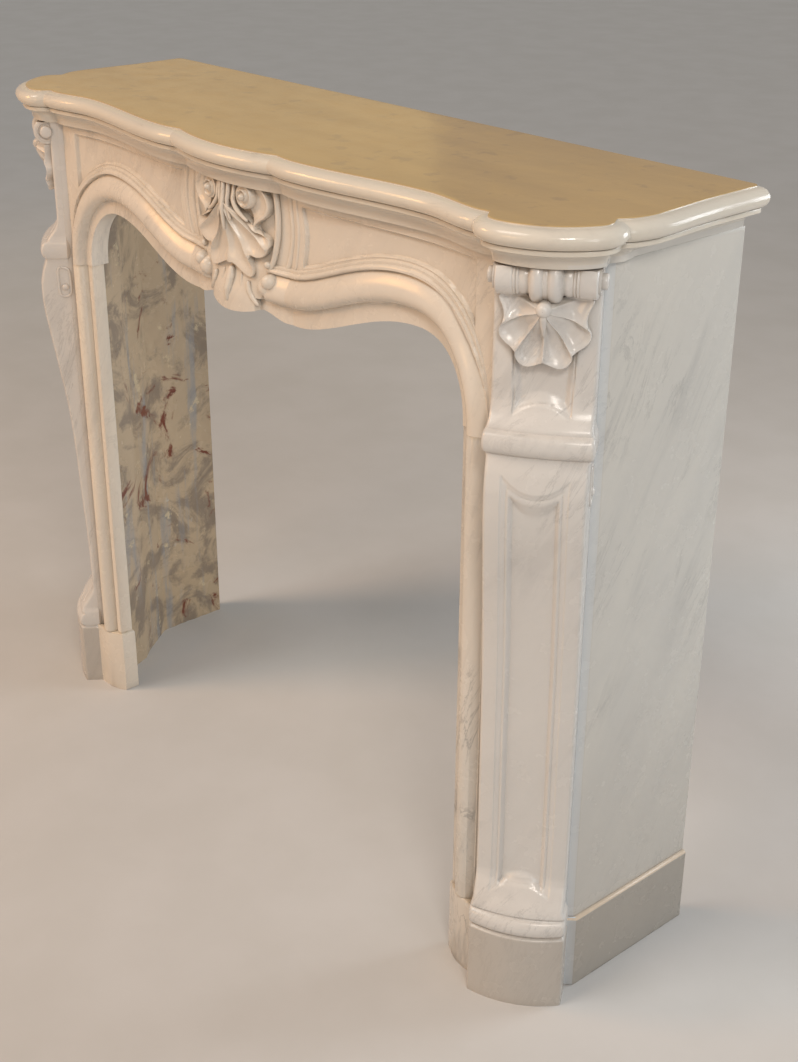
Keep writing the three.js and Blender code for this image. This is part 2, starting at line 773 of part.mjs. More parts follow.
function carvedLintel() {
  const right = archMoulding();
  const seam = steps(0, 1, stationCount).map((place) => {
    const rows = mouldingSection(place);
    return beyondArch(place, rows[5][0]);
  });
  const wide = jambX;
  const above = [...seam, [wide, springZ], [wide, seatZ]];
  const edge = bothSides([...tongueEdge(4), ...above]);
  const slab = faceLayer(0).intersect(throughFront(edge));
  const panelTop = height - friezePanelBelowTop;
  const along = steps(0.2, 0.86, 11).map((place) => {
    const rows = mouldingSection(place);
    return beyondArch(place, rows.at(-1)[0] + friezePanelMargin);
  }).filter(([x]) => x > friezePanelInner && x < friezePanelOuter);
  const panel = [
    [friezePanelInner, along[0][1]],
    ...along,
    [friezePanelOuter, along.at(-1)[1] - 4],
    [friezePanelOuter, panelTop],
    [friezePanelInner, panelTop],
    [friezePanelInner + 5, lerp(along[0][1], panelTop, 0.6)],
  ];
  const open = faceLayer(-clearOf, friezePanelDepth);
  let lintel = slab;
  for (const side of [1, -1]) {
    const outline = panel.map(([x, z]) => [side * x, z]);
    lintel = lintel.subtract(open.intersect(throughFront(outline)));
  }
  lintel = unite([lintel, right, right.mirror([1, 0, 0]), cartouche()]);
  const past = -centreReach - clearOf;
  const top = upright([[-wide, past], [wide, past], [wide, 0], [-wide, 0]], seatZ, height);
  const room = jambRoom();
  return lintel.subtract(top).subtract(room).subtract(room.mirror([1, 0, 0]));
}

// Slips, slip blocks and returns

function slip() {
  const edge = openingHalf + slipSetback;
  const section = mouldingSection(1).map(([out, proud]) => [edge + out, lintelFace(edge + out) - proud]);
  const back = lintelFace(edge) + slipThickness;
  const wide = edge + 90;
  const outline = [...section, [wide, section.at(-1)[1]], [wide, back], [edge, back]];
  return upright(outline, slipBlockHeight + jointGap, springZ - jointGap).subtract(jambRoom());
}

function slipBlock() {
  const edge = openingHalf - slipBlockOut;
  const face = lintelFace(edge);
  const wide = edge + 90;
  const outline = [
    [edge, face - 1],
    [edge + slipBlockCant, face - slipBlockProud],
    [edge + slipBlockCant + 10, face - slipBlockProud - 1.5],
    [wide, face - slipBlockProud - 1.5],
    [wide, face + slipThickness + slipBlockOut],
    [edge, face + slipThickness + slipBlockOut],
  ];
  return upright(outline, 0, slipBlockHeight).subtract(jambRoom());
}

function returnPlan(out) {
  const inside = returnOut - returnThickness;
  return [
    [returnOut + out, 0],
    [returnOut + out, -returnReach],
    [inside, -returnReach - (returnOut + out - inside)],
    [inside, 0],
  ];
}

function returnSlab() {
  return upright(returnPlan(0), returnBaseHeight + jointGap, seatZ);
}

function returnBase() {
  const rings = [
    [returnBaseOut, 0],
    [returnBaseOut, returnBaseHeight - returnBaseChamfer],
    [0, returnBaseHeight],
  ];
  return loft(rings.map(([out, z]) => returnPlan(out).map(([x, y]) => new THREE.Vector3(x, y, z))));
}

// Marble and meshes

function marble(color) {
  return new THREE.MeshStandardMaterial({ color, roughness: 0.25, metalness: 0, flatShading: true });
}

function meshOf(name, solid, color) {
  const { vertProperties, triVerts } = solid.getMesh();
  const geometry = new THREE.BufferGeometry();
  geometry.setAttribute('position', new THREE.BufferAttribute(vertProperties, 3));
  geometry.setIndex(new THREE.BufferAttribute(triVerts, 1));
  const mesh = new THREE.Mesh(geometry, marble(color));
  mesh.name = name;
  return mesh;
}

const group = new THREE.Group();
group.add(meshOf('mantel_shelf', mantelShelf(), 0xe6dac6));
group.add(meshOf('carved_lintel', carvedLintel(), 0xe4ddd2));
const pairs = [
  ['console_jamb', consoleJamb(), 0xe0dcd4],
  ['slip', slip(), 0xdcd8d0],
  ['slip_block', slipBlock(), 0xd8d3ca],
  ['return', returnSlab(), 0xd6d5d0],
  ['return_base', returnBase(), 0xcfccc6],
];
for (const [name, solid, color] of pairs) {
  group.add(meshOf(`right_${name}`, solid, color));
  group.add(meshOf(`left_${name}`, solid.mirror([1, 0, 0]), color));
}
const box = new THREE.Box3().setFromObject(group);
group.position.y = -(box.min.y + box.max.y) / 2;

export default group;
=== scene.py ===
import math

import bpy
import numpy as np
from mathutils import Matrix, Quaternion, Vector


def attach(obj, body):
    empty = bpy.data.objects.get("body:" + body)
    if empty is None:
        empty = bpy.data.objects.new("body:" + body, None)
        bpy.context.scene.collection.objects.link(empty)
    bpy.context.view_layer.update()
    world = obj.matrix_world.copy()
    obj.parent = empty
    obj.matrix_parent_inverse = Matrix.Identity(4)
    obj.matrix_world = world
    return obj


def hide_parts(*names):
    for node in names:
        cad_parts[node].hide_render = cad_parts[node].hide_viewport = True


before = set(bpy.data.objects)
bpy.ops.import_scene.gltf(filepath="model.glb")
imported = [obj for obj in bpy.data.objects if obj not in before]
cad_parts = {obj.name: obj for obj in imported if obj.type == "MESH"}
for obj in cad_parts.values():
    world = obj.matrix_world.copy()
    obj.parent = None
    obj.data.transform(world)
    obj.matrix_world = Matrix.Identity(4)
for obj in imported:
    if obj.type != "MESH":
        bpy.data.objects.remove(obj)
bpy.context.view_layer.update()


# The shelf
# One slab of polished white marble, 52 mm thick. Its serpentine edge is worked with a step, a full
# roll, a fillet and a hollow, and it lies on the lintel, the jambs and the side slabs. Sizes here are
# millimetres from the middle of the mantel, the wall and the floor.

HEIGHT = 1080.0
DEPTH = 365.0
JAMB_X = 574.0
JAMB_REACH = 315.0
CANT = math.radians(36)
RETURN_OUT = 597.0
shelf_thickness = 52.0
bed_cut = 20.0


def ease(t):
    t = np.clip(t, 0, 1)
    return t * t * (3 - 2 * t)


def between(x, places, values):
    """Values eased from each place to the next."""
    x = np.asarray(x, float)
    k = np.clip(np.searchsorted(places, x, side="right") - 1, 0, len(places) - 2)
    p, v = np.asarray(places, float), np.asarray(values, float)
    return v[k] + (v[k + 1] - v[k]) * ease((x - p[k]) / (p[k + 1] - p[k]))


def through(x, places, values):
    """A smooth curve through given points that doesn't overshoot them."""
    p, v = np.asarray(places, float), np.asarray(values, float)
    width = np.diff(p)
    rise = np.diff(v) / width
    slope = np.zeros(len(p))
    turning = rise[:-1] * rise[1:] > 0
    mean = 2 / (1 / np.where(turning, rise[:-1], 1) + 1 / np.where(turning, rise[1:], 1))
    slope[1:-1] = np.where(turning, mean, 0)
    slope[0], slope[-1] = rise[0], rise[-1]
    x = np.clip(np.asarray(x, float), p[0], p[-1])
    k = np.clip(np.searchsorted(p, x, side="right") - 1, 0, len(p) - 2)
    t = (x - p[k]) / width[k]
    hold = (1 + 2 * t) * (1 - t) ** 2 * v[k] + t * t * (3 - 2 * t) * v[k + 1]
    return hold + (t * (1 - t) ** 2 * slope[k] - t * t * (1 - t) * slope[k + 1]) * width[k]


def shelf_reach(x):
    half = np.abs(x)
    bow = 348 + (330 - 348) * (half / 112) ** 2
    swell = 330 + 5 * np.sin(np.clip((half - 112) / 40, 0, 1) * np.pi / 2)
    wave = between(half, [152, 385, 478], [335, 311, 323])
    return np.where(half < 112, bow, np.where(half < 152, swell, wave))


def canted(along, behind):
    """Plan of a point given along the right jamb's face and behind the face of its foot."""
    x = JAMB_X + along * math.cos(CANT) - behind * math.sin(CANT)
    y = -JAMB_REACH + along * math.sin(CANT) + behind * math.cos(CANT)
    return np.stack([x, y], -1)


def rounded(points, count):
    """A curve through points, as a Catmull-Rom spline with count steps a span."""
    p = np.vstack([2 * points[0] - points[1], points, 2 * points[-1] - points[-2]])
    t = np.arange(count)[:, None] / count
    spans = []
    for a, b, c, d in zip(p, p[1:], p[2:], p[3:]):
        spans.append(0.5 * (2 * b + (c - a) * t + (2 * a - 5 * b + 4 * c - d) * t**2
                            + (3 * b - a - 3 * c + d) * t**3))
    return np.vstack([*spans, points[-1:]])


def curve(points, count=6):
    return rounded(np.array(points, float), count)


def shelf_edge():
    """Right half of the shelf's top edge in plan, from the middle of the front to the wall."""
    x = np.r_[np.linspace(0, 100, 22), np.linspace(101, 124, 24), np.linspace(129, 470, 68),
              np.linspace(472, 478, 4)]
    front = np.stack([x, -shelf_reach(x)], -1)
    side = [[70, 44], [67, 22], [52, 8], [26, -1.25]]
    block = [[-u, s] for u, s in side] + [[0, -4.5]] + side[::-1]
    corner = rounded(canted(*np.array(block, float).T), 7)
    flank = np.array([[615, -221], [620, -197], [619, -170], [615, -125], [612.5, -85], [612, -40]], float)
    end = rounded(np.vstack([corner[-1:], flank]), 8)[1:]
    turn = np.linspace(0, math.pi / 2, 9)
    quarter = np.stack([612 - 9 * (1 - np.cos(turn)), -9 * (1 - np.sin(turn))], -1)
    return np.vstack([front, corner, end, quarter])


def distance_out(points, outline):
    """Signed distance of points from a closed outline, positive outside."""
    a, b = outline, np.roll(outline, -1, 0)
    d = b - a
    q = points[:, None] - a
    t = np.clip((q * d).sum(-1) / (d * d).sum(-1), 0, 1)
    away = np.sqrt(((q - t[..., None] * d) ** 2).sum(-1)).min(1)
    over = (a[:, 1] > points[:, None, 1]) != (b[:, 1] > points[:, None, 1])
    slope = d[:, 1] + (d[:, 1] == 0)
    cross = points[:, None, 0] < a[:, 0] + (points[:, None, 1] - a[:, 1]) / slope * d[:, 0]
    inside = (over & cross).sum(1) % 2 == 1
    return np.where(inside, -away, away)


def edge_rings(edge, profile):
    """Moves the shelf's edge out by each of the profile's distances, and down by its drops.

    The bed is cut back over the jambs, whose rolls rise into it, and along the sides the hollow dies
    into the faces of the slabs.
    """
    left = edge[1:][::-1] * [-1, 1]
    ring = np.vstack([left, edge])
    past = np.vstack([[[-603.0, 80.0]], ring, [[603.0, 80.0]]])
    step = np.gradient(ring, axis=0)
    way = np.stack([step[:, 1], -step[:, 0]], -1)
    way /= np.linalg.norm(way, axis=1)[:, None]
    length = np.r_[0, np.cumsum(np.linalg.norm(np.diff(ring, axis=0), axis=1))]
    blur = np.exp(-(((length[:, None] - length) / 9) ** 2))
    way = blur @ (way * np.gradient(length)[:, None])
    way /= np.linalg.norm(way, axis=1)[:, None]
    reach = np.linspace(-9, 26, 71)
    away = np.stack([distance_out(ring + way * r, past) for r in reach], 1)
    rows = []
    for out, down in profile:
        move = np.array([np.interp(out, np.maximum.accumulate(row), reach) for row in away])
        place = ring + way * move[:, None]
        half = np.abs(place[:, 0])
        u = (half - JAMB_X) * math.cos(CANT) + (place[:, 1] + JAMB_REACH) * math.sin(CANT)
        over_jamb = ease((66 - np.abs(u)) / 12) * (place[:, 1] < -200)
        inward = over_jamb * bed_cut * (down > 50)
        place[:, 0] -= np.sign(place[:, 0]) * inward * math.sin(CANT)
        place[:, 1] = np.minimum(place[:, 1] + inward * math.cos(CANT), 0)
        past_slab = np.maximum(np.abs(place[:, 0]) - RETURN_OUT - 0.3, 0)
        flush = ease((down - 33) / 11) * ease((place[:, 1] + 250) / 60) * past_slab
        place[:, 0] -= np.sign(place[:, 0]) * flush
        rows.append(np.column_stack([place, np.full(len(ring), HEIGHT - down)]))
    return np.array(rows)


def skin(name, rings, smooth=38):
    """A closed piece: a grid is added, rolled into a tube through the rings, and capped at both ends."""
    bpy.ops.object.select_all(action="DESELECT")
    rings = np.concatenate([rings, rings[:, :1]], 1) + [0, DEPTH / 2, 0]
    rows, columns = rings.shape[:2]
    bpy.ops.mesh.primitive_grid_add(x_subdivisions=columns - 1, y_subdivisions=rows - 1)
    piece = bpy.context.object
    piece.name = name
    piece.data.name = name
    piece.data.vertices.foreach_set("co", (rings / 1000).astype(np.float32).ravel())
    bpy.ops.object.mode_set(mode="EDIT")
    bpy.ops.mesh.select_all(action="SELECT")
    bpy.ops.mesh.remove_doubles(threshold=0.00002)
    bpy.ops.mesh.fill_holes(sides=0)
    bpy.ops.mesh.normals_make_consistent(inside=False)
    bpy.ops.object.mode_set(mode="OBJECT")
    bpy.ops.object.shade_smooth_by_angle(angle=math.radians(smooth))
    while piece.data.uv_layers:
        piece.data.uv_layers.remove(piece.data.uv_layers[0])
    return piece


class Wire:
    """A shader socket whose sums and products add Math nodes."""

    def __init__(self, tree, socket):
        self.tree, self.socket = tree, socket

    def sum(self, kind, *terms):
        return self.tree.node("ShaderNodeMath", {"operation": kind}, dict(enumerate(terms)))

    def __add__(self, other):
        return self.sum("ADD", self, other)

    def __sub__(self, other):
        return self.sum("SUBTRACT", self, other)

    def __rsub__(self, other):
        return self.sum("SUBTRACT", other, self)

    def __mul__(self, other):
        return self.sum("MULTIPLY", self, other)

    def ramp(self, low, high):
        """0 below low and 1 above high, eased between them."""
        values = {"Value": self, "From Min": low, "From Max": high}
        return self.tree.node("ShaderNodeMapRange", {"interpolation_type": "SMOOTHSTEP"}, values)


class Finish:
    """A material and the nodes that paint it."""

    def __init__(self, name):
        self.material = bpy.data.materials.new(name)
        self.material.use_nodes = True
        self.tree = self.material.node_tree
        self.shader = self.tree.nodes["Principled BSDF"]
        self.place = self.node("ShaderNodeTexCoord", out="Object")

    def node(self, kind, settings=None, values=None, out=None):
        made = self.tree.nodes.new(kind)
        for key, value in (settings or {}).items():
            setattr(made, key, value)
        for key, value in (values or {}).items():
            if isinstance(value, Wire):
                self.tree.links.new(value.socket, made.inputs[key])
            else:
                made.inputs[key].default_value = value
        shown = [s for s in made.outputs if s.enabled]
        return Wire(self, made.outputs[out] if out else shown[0])

    def axis(self, name):
        return self.node("ShaderNodeSeparateXYZ", values={"Vector": self.place}, out=name)

    def off_middle(self):
        """Distance from the middle of the mantel, to either side."""
        x = self.axis("X")
        return x.sum("ABSOLUTE", x)

    def turned(self, degrees, stretch, shift=(0, 0, 0)):
        """The place, turned and stretched for a pattern that runs one way."""
        values = {"Vector": self.place, "Rotation": [math.radians(d) for d in degrees],
                  "Scale": stretch, "Location": shift}
        return self.node("ShaderNodeMapping", {"vector_type": "TEXTURE"}, values)

    def noise(self, place, scale, detail=4.0, rough=0.55, warp=0.0):
        values = {"Vector": place, "Scale": scale, "Detail": detail, "Roughness": rough, "Distortion": warp}
        return self.node("ShaderNodeTexNoise", values=values, out="Fac")

    def blend(self, share, first, second, kind="MIX"):
        settings = {"data_type": "RGBA", "blend_type": kind, "clamp_factor": True}
        made = self.tree.nodes.new("ShaderNodeMix")
        for key, value in settings.items():
            setattr(made, key, value)
        for index, value in ((0, share), (6, first), (7, second)):
            if isinstance(value, Wire):
                self.tree.links.new(value.socket, made.inputs[index])
            elif index:
                made.inputs[index].default_value = (*value, 1)
            else:
                made.inputs[index].default_value = value
        return Wire(self, made.outputs[2])

    def feed(self, name, value):
        self.tree.links.new(value.socket, self.shader.inputs[name])

    def bump(self, height, depth, strength=1.0):
        made = self.node("ShaderNodeBump", values={"Height": height, "Distance": depth, "Strength": strength})
        self.feed("Normal", made)


def marble(name, ground, cloud, vein, lean=(0, 0, 0), veins=0.5, rough=0.2):
    """Polished marble: pale ground, soft clouds, grey streaks that lean one way, threads and fine pits, and
    painted shade in its recesses.
    """
    f = Finish(name)
    flow = f.turned(lean, (1.0, 1.0, 4.0))
    clouds = f.noise(flow, 7.0, 5.0, 0.6, 0.6).ramp(0.36, 0.66)
    streak = f.noise(f.turned(lean, (1.0, 1.0, 7.0), (3, 1, 2)), 22.0, 6.0, 0.66, 0.5)
    patch = f.noise(f.place, 4.5, 3.0, 0.5, 0.4)
    bend = f.noise(flow, 9.0, 8.0, 0.7, 1.6)
    thread = (1 - (bend - 0.5).sum("ABSOLUTE", bend - 0.5).ramp(0.0, 0.018)) * patch.ramp(0.46, 0.6)
    grain = f.noise(f.place, 190.0, 3.0, 0.6)
    fleck = f.noise(f.place, 75.0, 2.0, 0.5).ramp(0.66, 0.74) * patch.ramp(0.42, 0.58)
    colour = f.blend(clouds * 0.7, ground, cloud)
    colour = f.blend(streak.ramp(0.5, 0.68) * patch.ramp(0.3, 0.62) * veins, colour, vein)
    colour = f.blend(thread * (veins * 0.75), colour, [c * 0.7 for c in vein])
    colour = f.blend(fleck * 0.25 * veins, colour, [c * 0.6 for c in vein])
    colour = f.blend(grain.ramp(0.35, 0.75) * 0.08, colour, [c * 0.84 for c in ground])
    # Painted shade: the colour darkens to brown where the surface is hemmed in, in recesses, creases and
    # joints.
    open_air = f.node("ShaderNodeAmbientOcclusion", {"samples": 6}, {"Distance": 0.016}, "AO")
    painted_recess_shade = (1 - open_air.ramp(0.3, 0.92)) * 0.55
    f.feed("Base Color", f.blend(painted_recess_shade, colour, (0.30, 0.245, 0.185)))
    f.feed("Roughness", f.noise(f.place, 26.0, 5.0).ramp(0.3, 0.75) * 0.12 + rough)
    f.bump(grain * 0.4 + f.noise(f.place, 34.0, 3.0) * 1.6, 0.0004, 0.4)
    return f


def stain_and_painted_light(f, share, colour):
    """Lays a colour over a finish's colour, by a share that varies: real stains, and painted light and shade
    too.
    """
    link = f.shader.inputs["Base Color"].links[0]
    f.feed("Base Color", f.blend(share, Wire(f, link.from_socket), colour))


edge_profile = np.vstack([
    [[-8, 0], [-2, 0], [-0.7, 0.15], [-0.15, 0.6], [0, 1.2], [0.1, 1.8], [0.8, 2.1]],
    curve([[2.6, 2.15], [7.8, 2.9], [12.6, 5.2], [15.8, 8.8], [17, 13], [16.2, 17.4], [13.6, 21.4],
           [9.8, 24.2], [6.6, 25.2]], 4),
    [[5.8, 25.5], [5.8, 25.9], [7.0, 26.1], [7.2, 27], [7.2, 31.2], [6.9, 31.8], [6.0, 32.1], [3.5, 32.3]],
    curve([[3.1, 32.9], [1.2, 34.2], [-1.6, 36.8], [-4.0, 40.4], [-5.4, 43.8], [-6, 46.5]], 3),
    [[-6.3, 49.4], [-6.3, 52]],
])
shelf = skin("marble_shelf", edge_rings(shelf_edge(), edge_profile), 16)
shelf_finish = marble("shelf_marble", (0.80, 0.74, 0.64), (0.74, 0.68, 0.59), (0.55, 0.50, 0.44),
                      (0, 84, 0), 0.4, 0.13)
height = shelf_finish.axis("Z")
top_face = height.ramp(1.0786, 1.0798)
cast = shelf_finish.noise(shelf_finish.turned((0, 90, 0), (1, 1, 5)), 12.0, 4.0, 0.55).ramp(0.3, 0.7)
specks = shelf_finish.noise(shelf_finish.place, 30.0, 6.0).ramp(0.58, 0.7)
hollow = height.ramp(1.0275, 1.0285) * (1 - height.ramp(1.0470, 1.0490))
on_slab = (1 - height.ramp(1.0350, 1.0362)) * shelf_finish.off_middle().ramp(0.590, 0.592)
# Painted shade: the hollow under the roll is greyed, as though in shade.
stain_and_painted_light(shelf_finish, hollow * 0.22, (0.42, 0.40, 0.39))
stain_and_painted_light(shelf_finish, on_slab, (0.70, 0.67, 0.62))
# Painted reflection: the top is painted tan for the warm light its polish reflects, with darker streaks of
# grain along it and dark specks of its own.
stain_and_painted_light(shelf_finish, top_face, (0.62, 0.425, 0.18))
stain_and_painted_light(shelf_finish, top_face * cast * 0.45, (0.43, 0.29, 0.13))
stain_and_painted_light(shelf_finish, top_face * specks * 0.3, (0.30, 0.22, 0.14))
shelf.data.materials.append(shelf_finish.material)
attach(shelf, "root")
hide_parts("mantel_shelf")


# The lintel
# One carved stone under the shelf. An arched edge with a flat band, a big torus and two fillets
# frames two sunk panels, and a scrolled cartouche with a shell hangs in the middle.

OPENING_HALF = 439.0
lintel_top = HEIGHT - shelf_thickness - 0.3
lintel_back = -272.0
dip_place, crest_place = 0.12, 0.58


def lintel_face(x):
    return -(298 + 0.64 * (shelf_reach(x) - 311))


def arch_point(p):
    """Right half of the arch as x and z, for a place from the cusp (0) to the springing (1)."""
    t = np.clip((p - dip_place) / (crest_place - dip_place), 0, 1)
    low_x = np.where(p < dip_place, 56 + (103 - 56) * p / dip_place, 103 + (350 - 103) * t)
    low_z = 847 + (905 - 847) * (0.5 - 0.5 * np.cos(np.pi * t))
    turn = np.clip((p - crest_place) / (1 - crest_place), 0, 1) * np.pi / 2
    power = 2 / 2.2
    high_x = 350 + (OPENING_HALF - 350) * np.sin(turn) ** power
    high_z = 803 + (905 - 803) * np.maximum(np.cos(turn), 0) ** power
    return np.where(p < crest_place, low_x, high_x), np.where(p < crest_place, low_z, high_z)


def bulge(distance, radius):
    return np.sqrt(np.maximum(1 - (distance / radius) ** 2, 0))


def band_width(place):
    return 25 + (15 - 25) * ease((place - 0.4) / 0.5)


def torus_width(place):
    return 42 + (34 - 42) * ease((place - 0.5) / 0.45)


def fillet_fade(place):
    return 1 - ease((place - 0.75) / 0.2)


def fillet_width(place):
    return 12 * (0.2 + 0.8 * fillet_fade(place))


def reach_of(place):
    """Width of the whole arch moulding."""
    return band_width(place) + torus_width(place) + fillet_width(place)


def moulding(out, place):
    """How far the arch moulding stands out, at a distance from the arched edge."""
    band, torus, width = band_width(place), torus_width(place), fillet_width(place)
    fade = fillet_fade(place)
    f = np.clip((out - band) / torus, 0, 1)
    full = 14 * np.sin(np.pi * f**0.68) ** 0.8
    full = np.maximum(full, 2.0 * ease((f - 0.6) / 0.3))
    quirk = -4.5 * np.exp(-(((out - band + 1) / 1.6) ** 2))
    arris = -1.5 * (1 - np.clip(out / 1.8, 0, 1)) ** 2
    g = (out - band - torus) / width
    fillets = (2 + 5 * fade) * ease(g / 0.08 + 0.5) * (1 - ease((g - 0.42) / 0.12))
    fillets = np.maximum(fillets, (0.5 + 2.6 * fade) * ease(g / 0.1) * (1 - ease((g - 0.93) / 0.14)))
    return np.where(f > 0, full, 0) * (g <= 0) + quirk + arris + fillets


def body_relief(x, z):
    """The cartouche's raised plate and the tongue that curls forward under it."""
    ax = np.abs(x)
    frame_at = through(z, [840, 864, 887, 909, 932, 968, 1016, 1030], [54, 58, 64, 72, 84, 92, 92, 90])
    plate = 5 * (1 - ease((ax - frame_at + 1.5) / 3))
    dish = 4.5 * ease((frame_at - ax) / 10) * ease((z - 915) / 20)
    tongue = 13 * ease((908 - z) / 42) * np.maximum(1 - (ax / 60) ** 2, 0)
    return np.where(ax < 60, tongue, 0) + plate - dish


def frieze_panel(x, z, past_moulding):
    """Depth of the sunk panels, whose lower edge follows the moulding."""
    ax = np.abs(x)
    inner = through(z, [900, 930, 980, 1014, 1030], [138, 139, 146, 139, 136])
    gap = np.minimum(np.minimum(ax - inner, 458 - ax), np.minimum(1015 - z, past_moulding - 3))
    return 5 * ease(gap / 2.6) + 0.8 * np.exp(-(((gap + 2.2) / 1.2) ** 2))


def lintel_rings():
    """Columns across the arch: the tongue and the moulding, the frieze over it, the rim and the back."""
    p = np.linspace(0, 1, 4001)
    x, z = arch_point(p)
    step = np.hypot(np.gradient(x), np.gradient(z))
    cost = np.cumsum(step / np.where(x < 165, 1.3, 2.7))
    pick = np.interp(np.linspace(cost[0], cost[-1], 300), cost, p)
    x, z = arch_point(pick)
    fine = 0.0015
    xa, za = arch_point(np.clip(pick - fine, 0, 1))
    xb, zb = arch_point(np.clip(pick + fine, 0, 1))
    way = np.stack([xb - xa, zb - za], -1)
    way[-1] = [0, -1]
    way /= np.linalg.norm(way, axis=1)[:, None]
    tongue_x = np.linspace(0, 56, 44)[:-1]
    place = np.r_[np.zeros(43), pick]
    base_x, base_z = np.r_[tongue_x, x], np.r_[np.full(43, 847.0), z]
    way = np.vstack([np.tile([1.0, 0.0], (43, 1)), way])
    rise = 0.5 + 0.5 * np.cos(np.pi * np.minimum(place / dip_place, 1))
    lift = 10 * rise - 8 * np.where(base_x < 56, 1 - (base_x / 56) ** 2, 0)
    reach = reach_of(place)
    low = np.linspace(0, 1, 48)
    out = low[None] * reach[:, None]
    gx = base_x[:, None] - way[:, 1:] * out
    gz = base_z[:, None] + way[:, :1] * out + lift[:, None] * np.maximum(1 - out / 25, 0)
    ex, ez = gx[:, -1], gz[:, -1]
    after = place >= crest_place
    start_x = ex[after][0]
    across, down = 458 - start_x, 100.0
    walk = np.clip((place - crest_place) / (0.86 - crest_place), 0, 1) * (across + down)
    corner = walk > across
    low = ease((place - 0.86) / 0.04)
    edge_x = np.where(after, np.minimum(start_x + walk, 458), np.minimum(ex, 430))
    edge_z = 1015 - np.maximum(walk - across, 0)
    edge_x, edge_z = edge_x + (ex + 0.5 - edge_x) * low, edge_z + (ez - edge_z) * low
    field = np.linspace(0, 1, 42)[1:]
    fx = ex[:, None] + (edge_x - ex)[:, None] * field
    fz = ez[:, None] + (edge_z - ez)[:, None] * field
    tx = np.where(corner, 500, edge_x + 42 * walk / across)
    tz = lintel_top - np.where(corner, (lintel_top - 915) * (walk - across) / down, 0)
    tz = tz + (ez - tz) * low
    rim = np.linspace(0, 1, 8)[1:]
    rx = edge_x[:, None] + (tx - edge_x)[:, None] * rim
    rz = edge_z[:, None] + (tz - edge_z)[:, None] * rim
    X, Z = np.hstack([gx, fx, rx]), np.hstack([gz, fz, rz])
    past = reach[:, None] + np.hypot(fx - ex[:, None], fz - ez[:, None])
    grown = np.hstack([out, past, np.full(rx.shape, 200.0)])
    X, Z = np.vstack([-X[:0:-1], X]), np.vstack([Z[:0:-1], Z])
    grown, place = np.vstack([grown[:0:-1], grown]), np.r_[place[:0:-1], place]
    start = ease((np.abs(X) - 62) / 12)
    swell = moulding(grown, place[:, None])
    swell = np.where(grown < reach_of(place)[:, None], swell, 0)
    swell = np.where(swell > 0, swell * start, swell * ease((np.abs(X) - 50) / 20))
    ball = 17 * bulge(np.hypot(np.abs(X) - 71, Z - 893), 15)
    relief = np.maximum(swell, body_relief(X, Z))
    relief = np.where(swell < 0, swell, relief)
    relief = np.maximum(relief, ball)
    relief = relief - frieze_panel(X, Z, grown - reach_of(place)[:, None]) * (np.abs(X) > 130)
    Y = lintel_face(X) - relief
    end = JAMB_X + (-60.4 - (Y + JAMB_REACH) * math.sin(CANT)) / math.cos(CANT)
    X = np.clip(X, -end, end)
    front = np.stack([X, Y, Z], -1)
    back = front[:, [-1, 0]].copy()
    back[..., 1] = lintel_back
    back[..., 0] = np.clip(back[..., 0], -466, 466)
    return np.concatenate([front, back], 1)


def on_lintel(x, z, proud):
    return np.stack([x, lintel_face(x) - proud, z + 0 * x], -1)


def rib(name, lay, path, radius, proud):
    """A rounded rib laid along a path on a face: its radius and height are given along the way."""
    line = curve(path, 10)
    t = np.linspace(0, 1, len(line))
    way = np.gradient(line, axis=0)
    way /= np.linalg.norm(way, axis=1)[:, None]
    r = np.interp(t, np.linspace(0, 1, len(radius)), radius)
    h = np.interp(t, np.linspace(0, 1, len(proud)), proud)
    close = np.sqrt(np.clip(1 - (np.abs(t - 0.5) * 2) ** 24, 0.04, 1))
    turn = np.linspace(0, 2 * math.pi, 17)[:-1]
    side = (r * close)[:, None] * np.cos(turn)
    up = h[:, None] - r[:, None] + (r * close)[:, None] * np.sin(turn)
    x = line[:, :1] - way[:, 1:] * side
    z = line[:, 1:] + way[:, :1] * side
    return skin(name, lay(x, z, up), 60)


def boss(name, lay, centre, size, height, bury=3.0):
    """A round boss: its height is a function of the share of the radius and the angle."""
    turn = np.linspace(0, 2 * math.pi, 57)
    t = np.r_[np.linspace(0, 1, 22), 1.03, 0.9]
    r = size * t[None] + 0 * turn[:, None]
    x = centre[0] + r * np.cos(turn)[:, None]
    z = centre[1] + r * np.sin(turn)[:, None]
    h = height(t[None], turn[:, None]) + 0 * r
    h[:, -2:] = -bury
    h[:, 0] = h[:, 0].mean()
    return skin(name, lay(x, z, h), 60)


